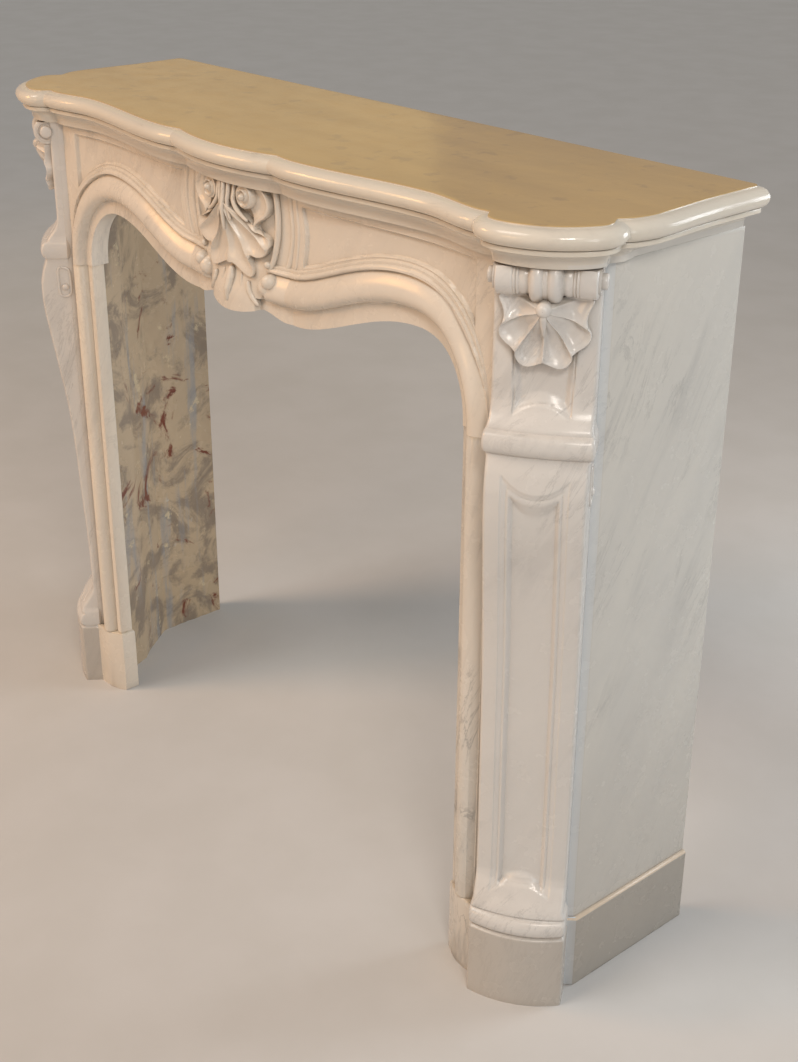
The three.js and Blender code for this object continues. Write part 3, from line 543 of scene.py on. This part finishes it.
def fan(name, lay, hub, lobes, height, dish, bend, side=0):
    """A shell of hollow flutes that spread from a hub: each lobe is the rim between two ridges."""
    rims, shares = [], []
    for lobe in lobes:
        line = curve(lobe, 7)
        length = np.r_[0, np.cumsum(np.linalg.norm(np.diff(line, axis=0), axis=1))]
        rims.append(line[:-1])
        shares.append((length / length[-1])[:-1])
    rim = np.vstack([*rims, lobes[-1][-1:]])
    q = np.r_[np.concatenate(shares), 1.0]
    if side:
        rim, hub = rim * [side, 1], (hub[0] * side, hub[1])
    else:
        rim, q = np.vstack([rim[:0:-1] * [-1, 1], rim]), np.r_[q[:0:-1], q]
    t = np.linspace(0, 1, 30)
    ridge = 0.4 * np.sin(np.pi * q) + 0.6 * (1 - np.exp(-((np.minimum(q, 1 - q) / 0.11) ** 2)))
    hollow = ridge[:, None] * dish * through(t, [0, 0.15, 0.55, 0.85, 1], [0, 0.3, 1, 0.95, 0.4])
    proud = through(t, *height)[None] - hollow
    power = 1 + (bend - 1) * np.exp(-(((rim[:, :1] - hub[0]) / 55) ** 4))
    x = hub[0] + (rim[:, :1] - hub[0]) * t**power
    z = hub[1] + (rim[:, 1:] - hub[1]) * t
    edge = np.array([1.012, 1.004, 0.985, 0.0])
    drop = np.column_stack([proud[:, -1] - 2.0, proud[:, -1] - 4.5, 0 * q - 4, 0 * q - 4])
    ex = hub[0] + (rim[:, :1] - hub[0]) * edge
    ez = hub[1] + (rim[:, 1:] - hub[1]) * edge
    return skin(name, lay(np.hstack([x, ex]), np.hstack([z, ez]), np.hstack([proud, drop])), 50)


def coil(t, turn):
    """A volute: a spiral rib that climbs to a round button."""
    r = 17.5 * t
    spiral = (0.5 + 0.5 * np.cos(2 * np.pi * (r / 7.2) - turn)) ** 1.6
    button = 8 * np.sqrt(np.maximum(1 - (r / 5.2) ** 2, 0))
    climb = 11 + 5 * (1 - t) + 4.2 * spiral * ease((r - 4.5) / 3) * ease((18 - r) / 2.5)
    return np.maximum(climb, 14 + button * (r < 5.2)) - 6 * ease((t - 0.93) / 0.07) + 0 * turn


def both_ways(name, lay, path, radius, proud):
    path = np.array(path, float)
    return [rib(name, lay, path, radius, proud), rib(name, lay, path * [-1, 1], radius, proud)]


def joined(name, pieces):
    bpy.ops.object.select_all(action="DESELECT")
    for piece in pieces:
        piece.select_set(True)
    bpy.context.view_layer.objects.active = pieces[0]
    bpy.ops.object.join()
    pieces[0].name = name
    pieces[0].data.name = name
    return pieces[0]


fan_lobes = [
    [[0, 915], [8, 915.5], [18, 911.5], [28, 907], [38, 903.5], [46, 904], [50, 911], [48, 920], [43, 929]],
    [[43, 929], [46, 934], [56, 932.5], [67, 935], [75, 940.5], [79, 947]],
    [[79, 947], [83, 954], [80, 962], [71, 966], [61, 968]],
    [[61, 968], [54, 976], [40, 984], [20, 991]],
]
fan_height = [0, 0.1, 0.25, 0.5, 0.75, 0.93, 1], [19, 21, 20, 15.5, 12.5, 14.5, 13.5]
ear = [[[52, 1031], [66, 1030], [79, 1021], [85, 1006], [79, 992], [67, 984]],
       [[67, 984], [60, 979], [57, 973], [61, 966]]]
ear_height = [0, 0.5, 0.8, 0.95, 1], [9, 6.5, 9, 12.5, 12]
crest = [
    fan("shell", on_lintel, (0, 1001), fan_lobes, fan_height, 7.5, 1.5),
    fan("ear", on_lintel, (40, 1010), ear, ear_height, 0.5, 1, 1),
    fan("ear", on_lintel, (40, 1010), ear, ear_height, 0.5, 1, -1),
    boss("volute", on_lintel, (40, 1013), 17.5, coil),
    boss("volute", on_lintel, (-40, 1013), 17.5, lambda t, turn: coil(t, math.pi - turn)),
    rib("stem", on_lintel, [[0, 1029], [0, 1010], [0, 992], [0, 960]], [3.4, 3.8, 3.8, 2], [19, 21, 24, 20]),
    rib("husk", on_lintel, [[0, 910], [0, 895], [0, 879], [0, 861]], [3.5, 7, 6.5, 2], [11, 17, 22, 20]),
]


def scroll_end(t, turn):
    return 9 + 11 * bulge(t, 1.001) + 0 * turn


def bead(t, turn):
    return 6 + 5 * bulge(t, 1.001) + 0 * turn


for side in (-1, 1):
    crest.append(boss("scroll_end", on_lintel, (side * 80, 903), 10.5, scroll_end))
    crest.append(boss("bead", on_lintel, (side * 75, 925), 5, bead))
for path, radius, proud in (
    ([[9, 1029], [9, 1012], [8, 998], [14, 976]], [3, 3.2, 2], [17, 20, 19]),
    ([[18, 1029], [18, 1014], [19, 1002], [30, 990], [46, 980]], [3, 3.4, 3.4, 2.4], [13, 17, 18, 15]),
    ([[89, 1029], [92, 1008], [93, 985], [91, 962], [83, 932], [73, 911]], [3.6, 4, 4, 3.4],
     [6.2, 6.6, 6.6, 7]),
    ([[112, 1029], [114, 1006], [117, 974], [109, 935], [98, 911]], [5.5, 5.5, 5], [2.4, 2.6, 2.6]),
    ([[125, 1029], [128, 1010], [131, 976], [125, 939], [116, 917]], [4, 4, 4], [1.8, 2, 2]),
    ([[37, 896], [40, 884], [47, 873], [56, 864]], [3, 4.2, 4, 2.4], [12, 14, 13, 10]),
    ([[20, 903], [22, 888], [28, 872], [35, 858]], [2.4, 3.4, 3.4, 2], [8, 11, 13, 12]),
):
    crest += both_ways("scroll", on_lintel, path, radius, proud)
lintel = joined("marble_lintel", [skin("lintel_body", lintel_rings(), 50), *crest])
# The lintel's ground is creamier than the jambs'; in part this cream is painted warm light.
lintel_finish = marble("lintel_marble", (0.80, 0.73, 0.64), (0.73, 0.67, 0.59), (0.52, 0.49, 0.45),
                       (0, 30, 0), 0.4, 0.2)
lintel.data.materials.append(lintel_finish.material)
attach(lintel, "root")
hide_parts("carved_lintel")


# The console jambs
# Two canted legs, each carved from one stone: a bowed foot, a base torus, a shaft with a sunk panel
# that swells to a torus band, and a neck with a scallop shell under a turned roll.

jamb_top = lintel_top
profile_z = [147, 153, 162, 172, 182, 192, 240, 300, 377, 440, 492, 532, 570, 605, 640, 680, 707, 735,
             758, 782, 795, 805]
profile_s = [9.5, 13, 19.5, 26, 32, 34, 34, 32.5, 29, 26.5, 24, 21, 16.5, 11.5, 6.5, 0.5, -3.5, -6,
             -6.3, -2, 2.5, 5.5]
neck_behind = 29.0
roll_behind, roll_height = 29.0, 1013.0


def jamb_setback(z):
    """How far the middle of the jamb's front stands behind the foot's face, at each height."""
    shaft = through(z, profile_z, profile_s)
    foot = 1.6 * ease((z - 109.5) / 2.5) ** 2 + 3.2 * ease((z - 111.6) / 1.4)
    torus = through(z, [113, 114, 117, 120.5, 125, 129.5, 133.5, 136.5, 138.6, 139.8, 142, 147],
                    [5, 4.2, 1.8, 0.2, -0.4, 0.3, 2.4, 5.2, 8.6, 9.4, 8.0, 9.5])
    band = 6.5 - 8.5 * bulge(z - 819.5, 13.5)
    neck = through(z, [833, 837, 843, 851, 858, 866, 880, 1100], [9.4, 10.6, 15, 21.5, 25.5, 28, 29, 29])
    s = np.where(z < 113, foot, torus)
    s = np.where(z > 147, shaft, s)
    s = np.where(z > 806, band, s)
    return np.where(z > 833, neck, s)


def jamb_front(u, z):
    """Setback of the carved front over the width u and the height z."""
    bow = np.where(z < 113, 12, through(z, [113, 129, 147, 190, 1100], [12, 10.5, 7.5, 5, 5]))
    s = jamb_setback(z) + bow * (u / 60) ** 2
    au = np.abs(u)
    side = 34 + 2.5 * ease((z - 850) / 80)
    sill = 849 + 13 * (1 - (au / 35) ** 2)
    gap = np.minimum(side - au, z - sill)
    slope = np.minimum((side - 2 - au) / 7, (z - sill - 2) / (6 + 7 * (1 - (au / 35) ** 2)))
    s = s + 1.2 * np.exp(-(((gap - 1.2) / 1.1) ** 2)) * (z < 1000)
    s = s + (1.4 * ease(gap / 1.4) + 5.6 * np.clip(slope, 0, 1)) * (z < 1000)
    arc = 1 - (au / 40) ** 2
    outer = np.minimum(40 - au, np.minimum(783 - 20 * arc - z, z - 164 - 13 * arc))
    bow = 1 - (au / 29.5) ** 2
    inner = np.minimum((29.5 - au) / 4.5, (769 - 19 * arc - z) / (5 + 12 * bow))
    inner = np.minimum(inner, (z - 170 - 14 * bow) / (4 + 5 * bow))
    groove = np.exp(-(((outer - 6.5) / 1.1) ** 2)) * (outer > 0)
    return s + 1.4 * ease(outer / 1.4) + 1.3 * groove + 5.0 * np.clip(inner, 0, 1)


def jamb_rings():
    """Plan rings from the floor up: the carved front, then the sides and the plain back."""
    z = np.r_[
        np.linspace(0, 108, 12), np.linspace(108.6, 148, 44), np.linspace(150, 196, 26),
        np.linspace(199, 735, 120), np.linspace(737, 800, 38), np.linspace(801, 836, 36),
        np.linspace(838, 884, 28), np.linspace(888, jamb_top, 30),
    ]
    side_z = [0, 108, 111, 113, 118, 129, 140, 147, 150, 800, 804, 808, 819, 830, 834, 845, 1100]
    side_steps = [4.5, 4.5, 3.6, 1.8, 3.9, 4.5, 3.6, 1.2, 0.2, 0.2, 1.2, 4.2, 5.5, 4.2, 2.4, 0.3, 0.2]
    side_out = through(z, side_z, side_steps)
    half = 60 + side_out
    across = np.sin(np.linspace(-1, 1, 97) * math.pi / 2 * 0.93) / math.sin(math.pi / 2 * 0.93)
    u = half[:, None] * across
    Z = np.repeat(z[:, None], u.shape[1], 1)
    s = jamb_front(u, Z)
    arris = np.where(z < 113, 3.0, 4.0)[:, None]
    s = s + arris - np.sqrt(np.maximum(arris**2 - np.maximum(np.abs(u) - half[:, None] + arris, 0) ** 2, 0))
    front = np.dstack([canted(u, s), Z])
    inside = 574.7
    corner = np.where(z <= 115.8, 829.42, 823.42)
    meet = (622.54 + 279.73 - corner) / (math.sin(CANT) + math.cos(CANT))
    last = s[:, -1]

    def upright(along, behind):
        return np.dstack([canted(along[:, None], behind[:, None]), z[:, None, None]])

    full = np.full(len(z), 60.0)
    back = [[inside, None], [inside, -132.0], [560.5, -151.8], [531, -192.9], [510.5, -214.0],
            [497.2, -248.4]]
    rows = [front, upright(half, last + (46 - last) / 3), upright(half, last + (46 - last) * 2 / 3),
            upright(half, np.full(len(z), 46.0)), upright(full, 46 + side_out), upright(full, meet)]
    for x, y in back:
        place = np.column_stack([np.full(len(z), x), inside - corner if y is None else np.full(len(z), y), z])
        rows.append(place[:, None])
    first = s[:, 0]
    rows += [upright(-full, np.full(len(z), 98.0)), upright(-full, 46 + side_out),
             upright(-half, np.full(len(z), 46.0)),
             upright(-half, first + (46 - first) * 2 / 3), upright(-half, first + (46 - first) / 3)]
    return np.concatenate(rows, 1)


def roll_rings():
    """The turned roll: end pins, drums, necks and a pair of ridged lobes."""
    u = np.r_[np.linspace(-67, -57.2, 9), np.linspace(-57, 57, 187), np.linspace(57.2, 67, 9)]
    au = np.abs(u)
    places = [0, 1.0, 2.2, 4, 7, 10.5, 14, 16.8, 18.4, 19.4, 24, 28.8, 29.6, 31, 32.6, 33.2, 34.4,
              35.8, 36.4, 38, 46, 55, 56.4, 57, 57.2, 64, 66, 67]
    radii = [25.4, 25.8, 25.2, 26.8, 28.2, 28.6, 27.6, 25, 21.5, 19, 19.8, 19, 18.6, 20, 20, 19, 20.3,
             20.3, 19.6, 20.8, 21.2, 20.8, 19.4, 18, 9.3, 9.3, 8.7, 6]
    r = through(au, places, radii)
    turn = np.linspace(0, 2 * math.pi, 65)[:-1]
    behind = roll_behind + r[:, None] * np.cos(turn)
    plan = canted(np.repeat(u[:, None], 64, 1), behind)
    up = roll_height + r[:, None] * np.sin(turn)
    return np.dstack([plan, np.where(behind < 15, np.minimum(up, 1031), np.minimum(up, jamb_top))])


def on_jamb(u, z, proud):
    plan = canted(u, neck_behind + 5 * (u / 60) ** 2 - proud)
    return np.dstack([plan, z + 0 * u])


def on_side(sign):
    def lay(behind, z, proud):
        return np.dstack([canted(sign * (60 + proud), behind), z + 0 * behind])
    return lay


scallop = [
    [[0, 918], [6, 915], [13, 912], [20, 911.2], [26.5, 914], [31.5, 921], [32, 928]],
    [[32, 928], [37.5, 933], [44, 937.5], [50, 944], [51.5, 952], [47.5, 960.5]],
    [[47.5, 960.5], [46, 969], [48, 979], [52.5, 991], [43, 994], [31, 997], [20.5, 995], [12, 989]],
]
scallop_height = [0, 0.12, 0.22, 0.38, 0.5, 0.68, 0.84, 0.95, 1], [28, 27.5, 26, 19, 13, 9, 11.5, 13.5, 13]


def mirrored(piece, name):
    """A copy across the middle of the mantel, turned right side out again."""
    bpy.ops.object.select_all(action="DESELECT")
    piece.select_set(True)
    bpy.context.view_layer.objects.active = piece
    bpy.ops.object.duplicate()
    copy = bpy.context.object
    copy.name = name
    copy.data.name = name
    bpy.ops.object.mode_set(mode="EDIT")
    bpy.ops.mesh.select_all(action="SELECT")
    bpy.ops.transform.mirror(constraint_axis=(True, False, False), center_override=(0, 0, 0))
    bpy.ops.mesh.normals_make_consistent(inside=False)
    bpy.ops.object.mode_set(mode="OBJECT")
    return copy


jamb_forms = [
    skin("jamb_body", jamb_rings(), 40), skin("jamb_roll", roll_rings(), 50),
    fan("jamb_shell", on_jamb, (0, 984), scallop, scallop_height, 7.5, 1.15),
    boss("jamb_knob", on_jamb, (0, 983), 8.8, lambda t, turn: 25 + 6.5 * (1 - t**3) + 0 * turn),
    rib("jamb_tail", on_jamb, [[0, 984], [0, 972], [0, 960], [0, 948]], [6, 5, 3, 1.5], [29, 27.5, 22, 14]),
]


def disc(t, turn):
    return -0.4 - 1.6 * ease((t - 0.6) / 0.1) * (1 - ease((t - 0.82) / 0.1)) + 0 * turn


for sign in (-1, 1):
    lay = on_side(sign)
    jamb_forms += [
        boss("roll_disc", lay, (roll_behind, roll_height), 15.0, disc, 8.0),
        boss("side_drop", lay, (38, 757), 5.5, lambda t, turn: 1 + 4 * bulge(t, 1.001) + 0 * turn),
        rib("side_scroll", lay, [[32, 792], [45, 786], [47.5, 766], [46, 746], [38, 741], [29, 745],
                                 [27.5, 766], [28, 786], [33, 791]], [2.4, 2.4], [2.0, 2.2, 2.2, 2.0]),
    ]
right_jamb = joined("marble_jamb_right", jamb_forms)
left_jamb = mirrored(right_jamb, "marble_jamb_left")


def soiled(f, share):
    """Soot, lime drips, red rust and old plaster on the rough hidden sides."""
    drips = f.noise(f.turned((0, 0, 0), (1, 1, 9)), 26.0, 5.0, 0.6)
    blots = f.noise(f.place, 11.0, 8.0, 0.68, 0.8)
    rust = f.noise(f.place, 7.0, 6.0, 0.7, 1.5)
    plaster = f.noise(f.place, 19.0, 7.0, 0.7)
    share = share.ramp(0.3, 0.9)
    stain_and_painted_light(f, share * 0.92, (0.58, 0.445, 0.29))
    stain_and_painted_light(f, share * blots.ramp(0.46, 0.6) * 0.75, (0.23, 0.185, 0.15))
    stain_and_painted_light(f, share * drips.ramp(0.54, 0.68) * 0.6, (0.34, 0.37, 0.41))
    stain_and_painted_light(f, share * rust.ramp(0.58, 0.66), (0.20, 0.055, 0.03))
    stain_and_painted_light(f, share * plaster.ramp(0.61, 0.67) * 0.8, (0.76, 0.64, 0.43))


jamb_finish = marble("jamb_marble", (0.75, 0.72, 0.685), (0.69, 0.67, 0.64), (0.48, 0.465, 0.45),
                     (-20, 20, 0), 0.4, 0.18)
foot_face = (DEPTH / 2 - JAMB_REACH) / 1000
behind = (jamb_finish.off_middle() - JAMB_X / 1000) * -math.sin(CANT)
behind = behind + (jamb_finish.axis("Y") - foot_face) * math.cos(CANT)
# The foot, below its top edge, is darker and browner.
stain_and_painted_light(jamb_finish, (1 - jamb_finish.axis("Z").ramp(0.108, 0.114)) * 0.7, (0.47, 0.425, 0.37))
soiled(jamb_finish, behind.ramp(0.061, 0.066))
for piece, side in ((right_jamb, "right"), (left_jamb, "left")):
    piece.data.materials.clear()
    piece.data.materials.append(jamb_finish.material)
    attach(piece, "root")
    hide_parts(f"{side}_console_jamb")


# The slips and their blocks
# Narrow uprights inside the jambs that carry the arch moulding down to low plinth blocks. Each is
# a separate stone, bedded in plaster that has yellowed at the joints.

slip_edge = OPENING_HALF + 0.3


def against_jamb(y):
    """How far out a stone reaches before it meets the jamb's inner side."""
    return JAMB_X + (-60.4 - (y + JAMB_REACH) * math.sin(CANT)) / math.cos(CANT)


def upright_stone(name, outline, levels, smooth=38):
    """A plan outline, drawn in a little at given levels."""
    middle = outline.mean(0)
    rings = []
    for z, inset in levels:
        way = middle - outline
        away = way / np.linalg.norm(way, axis=1)[:, None]
        rings.append(np.column_stack([outline + away * inset, np.full(len(outline), z)]))
    return skin(name, np.array(rings), smooth)


out = np.r_[np.linspace(0, 3, 5), np.linspace(4, 13, 4), np.linspace(13.5, 52, 64)]
section = np.column_stack([slip_edge + out, lintel_face(slip_edge + out) - moulding(out, np.ones(len(out)))])
section[:, 0] = np.minimum(section[:, 0], against_jamb(section[:, 1]))
slip_back = lintel_face(slip_edge) + 22
slip_plan = np.vstack([section, [[against_jamb(slip_back), slip_back], [slip_edge, slip_back]]])
slip_levels = [(117.8, 0.6), (118.4, 0), (802.1, 0), (802.7, 0.4)]
block_edge = OPENING_HALF - 3
block_face = lintel_face(block_edge)
block_front = np.array([[block_edge, block_face - 1], [block_edge + 10, block_face - 6.4],
                        [block_edge + 21, block_face - 11.6], [block_edge + 31, block_face - 14.6],
                        [block_edge + 42, block_face - 15.5], [block_edge + 55, block_face - 15.5]])
block_front = np.vstack([rounded(block_front, 5), [[against_jamb(block_face - 15.5), block_face - 15.5]]])
block_plan = np.vstack([block_front, [[against_jamb(block_face + 25), block_face + 25],
                                      [block_edge, block_face + 25], [block_edge, block_face + 3]]])
block_levels = [(0, 1.5), (1.5, 0), (112, 0), (114.8, 0.5), (116.6, 1.8), (117.5, 4)]
right_slip = upright_stone("marble_slip_right", slip_plan, slip_levels)
right_block = upright_stone("marble_slip_block_right", block_plan, block_levels, 60)
slip_finish = marble("slip_marble", (0.74, 0.69, 0.62), (0.64, 0.61, 0.56), (0.36, 0.35, 0.34),
                     (-10, 10, 0), 0.8, 0.2)
level = slip_finish.axis("Z")
joint = level.ramp(0.797, 0.803) + level.ramp(0.1135, 0.1172) * (1 - level.ramp(0.1182, 0.122))
# Painted light: the left slip is painted warmer and paler, for the warm light that falls on the left.
stain_and_painted_light(slip_finish, (1 - slip_finish.axis("X").ramp(-0.2, 0.2)) * 0.75, (0.82, 0.74, 0.63))
stain_and_painted_light(slip_finish, joint * slip_finish.noise(slip_finish.place, 60.0).ramp(0.3, 0.6) * 0.4, (0.50, 0.39, 0.24))
for piece, node in ((right_slip, "slip"), (right_block, "slip_block")):
    for part, side in ((piece, "right"), (mirrored(piece, f"marble_{node}_left"), "left")):
        part.data.materials.append(slip_finish.material)
        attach(part, "root")
        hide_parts(f"{side}_{node}")


# The side returns
# Flat slabs that run back to the wall behind each jamb, standing on base blocks 6 mm thicker. They
# are polished outside, with painted cool light on the mitred front edge and a painted highlight on
# the base's top bevel, and rough from the saw inside, where soot and plaster have stained them.

return_thickness = 22.0
return_reach = 226.0
base_top = 115.5


def ripple(a, b):
    """A rough sawn surface: waves of many sizes, the same each time."""
    dice = np.random.default_rng(3)
    h = 0 * a
    for size in (70, 38, 21, 12, 7):
        for _ in range(5):
            turn, shift = dice.uniform(0, 2 * math.pi, 2)
            h = h + size**0.6 * np.sin((a * math.cos(turn) + b * math.sin(turn)) * 2 * math.pi / size + shift)
    return h / 40


def return_rings(levels):
    """Plan rings of a slab whose inner side is uneven: levels give height and how far it stands out."""
    inside = RETURN_OUT - return_thickness
    rings = []
    y = np.linspace(0, -return_reach - return_thickness, 56)
    for z, proud in levels:
        face = RETURN_OUT + proud
        outer = [[face - 1, 0], [face, -1], [face, -return_reach + 2], [face - 0.7, -return_reach - 0.2]]
        bed = np.clip(np.minimum(-y, y - y[-1]) / 12, 0, 1)
        uneven = (0.4 + np.abs(ripple(y, y * 0 + z))) * bed
        inner = np.column_stack([inside + uneven, y - proud * (y == y[-1])])
        rings.append(np.column_stack([np.vstack([outer, inner[::-1]]), np.full(60, z)]))
    return np.array(rings)


slab_z = np.linspace(116.5, 1027, 170)
slab_levels = [(115.8, -0.6), *((z, 0) for z in slab_z), (jamb_top, -0.4)]
slab = skin("marble_return_right", return_rings(slab_levels))
base_levels = [(0, 4.8), (1.2, 5.9), *((z, 6.0) for z in np.linspace(3, 110, 20)),
               (112.2, 6), (113.6, 5.3), (115.1, 3.4), (base_top, 0.6)]
base = skin("marble_return_base_right", return_rings(base_levels), 40)
return_finish = marble("return_marble", (0.70, 0.68, 0.63), (0.62, 0.61, 0.58), (0.42, 0.42, 0.41),
                       (-27, 0, 0), 0.4, 0.2)
half_x = return_finish.off_middle()
low = return_finish.axis("Z")
on_base = 1 - low.ramp(0.1150, 0.1153)
mitre = half_x - return_finish.axis("Y") + (DEPTH / 2000 - 0.8222) - on_base * 0.006
# Darker towards the floor: the slab grows darker towards its lower part, and the base block under its bevel
# is darker still.
stain_and_painted_light(return_finish, (1 - low.ramp(0.10, 0.55)) * 0.35, (0.50, 0.455, 0.40))
stain_and_painted_light(return_finish, (1 - low.ramp(0.1120, 0.1130)) * 0.7, (0.36, 0.325, 0.28))
# Painted highlight: the base's top bevel is painted pale and warm, as though catching the light.
stain_and_painted_light(return_finish, low.ramp(0.1122, 0.1130) * (1 - low.ramp(0.1152, 0.1158)) * 0.8, (0.80, 0.63, 0.46))
# Painted light: the mitred front edges are painted pale blue, for the cool light from behind.
stain_and_painted_light(return_finish, mitre.ramp(0.0, 0.0008) * 0.85, (0.76, 0.84, 0.92))
soiled(return_finish, 1 - half_x.ramp(0.5765, 0.5785))
for piece, node in ((slab, "return"), (base, "return_base")):
    for part, side in ((piece, "right"), (mirrored(piece, f"marble_{node}_left"), "left")):
        part.data.materials.append(return_finish.material)
        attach(part, "root")
        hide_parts(f"{side}_{node}")


# The studio
# A plain pale floor, warm soft light from the left, cooler light from above, the right and behind,
# and the camera at the angle of the photograph.

bpy.ops.object.select_all(action="DESELECT")
bpy.ops.mesh.primitive_plane_add(size=60, location=(0, 0, 0))
floor = bpy.context.object
floor.name = "studio_floor"
floor_finish = Finish("floor_paint")
dust = floor_finish.noise(floor_finish.place, 5.0, 6.0).ramp(0.3, 0.7)
floor_finish.feed("Base Color", floor_finish.blend(dust, (0.60, 0.59, 0.575), (0.63, 0.62, 0.61)))
floor_finish.shader.inputs["Roughness"].default_value = 0.85
floor.data.materials.append(floor_finish.material)

world = bpy.data.worlds.new("studio_air")
bpy.context.scene.world = world
world.use_nodes = True
world.node_tree.nodes["Background"].inputs["Color"].default_value = (0.84, 0.84, 0.84, 1)
world.node_tree.nodes["Background"].inputs["Strength"].default_value = 0.30
bpy.context.scene.view_settings.view_transform = "Standard"


def lamp(name, place, aim, size, power, colour):
    bpy.ops.object.light_add(type="AREA", location=place)
    made = bpy.context.object
    made.name = name
    made.data.shape = "RECTANGLE"
    made.data.size, made.data.size_y = size
    made.data.energy = power
    made.data.color = colour
    made.rotation_euler = (Vector(aim) - Vector(place)).to_track_quat("-Z", "Y").to_euler()


lamp("window", (-1.9, -2.2, 2.3), (0, 0, 0.7), (0.9, 0.8), 26, (1.0, 0.48, 0.14))
lamp("hall", (0.3, -3.2, 1.5), (-0.6, 0, 0.6), (0.8, 0.8), 10, (1.0, 0.56, 0.22))
lamp("back_room", (1.25, 1.7, 1.2), (0.2, -0.1, 0.6), (0.8, 0.8), 14, (0.93, 0.97, 1.0))
lamp("far_wall", (-2.8, 1.6, 2.3), (-0.4, -0.1, 1.0), (1.8, 1.8), 3.5, (1.0, 0.70, 0.22))
lamp("ceiling", (2.1, -1.2, 2.5), (0.3, -0.1, 0.6), (0.5, 0.5), 19, (1.0, 0.93, 0.85))
lamp("doorway", (3.0, -0.7, 1.5), (0.5, 0, 0.5), (0.6, 1.4), 8, (0.94, 0.97, 1.0))
bpy.ops.object.light_add(type="SUN", location=(-1, -2, 3))
sky = bpy.context.object
sky.name = "skylight"
sky.data.energy = 0.85
sky.data.angle = math.radians(24)
sky.data.color = (1.0, 0.92, 0.82)
sky.rotation_euler = Vector((0.28, 0.70, -1.0)).to_track_quat("-Z", "Y").to_euler()

long_side = 1062
yaw, pitch, tilt = math.radians(51.57), math.radians(24.36), math.radians(-0.71)
eye = Vector((1.674, -1.474 + DEPTH / 2000, 1.509))
ahead = Vector((-math.sin(yaw) * math.cos(pitch), math.cos(yaw) * math.cos(pitch), -math.sin(pitch)))
bpy.ops.object.camera_add(location=eye)
camera = bpy.context.object
camera.rotation_mode = "QUATERNION"
camera.rotation_quaternion = ahead.to_track_quat("-Z", "Y") @ Quaternion((0, 0, 1), tilt)
camera.rotation_mode = "XYZ"
camera.data.sensor_width = 36
camera.data.lens = 1521.3 / long_side * 36
camera.data.shift_x = (399 - 339.2) / long_side
camera.data.shift_y = (473.5 - 531) / long_side
bpy.context.scene.camera = camera
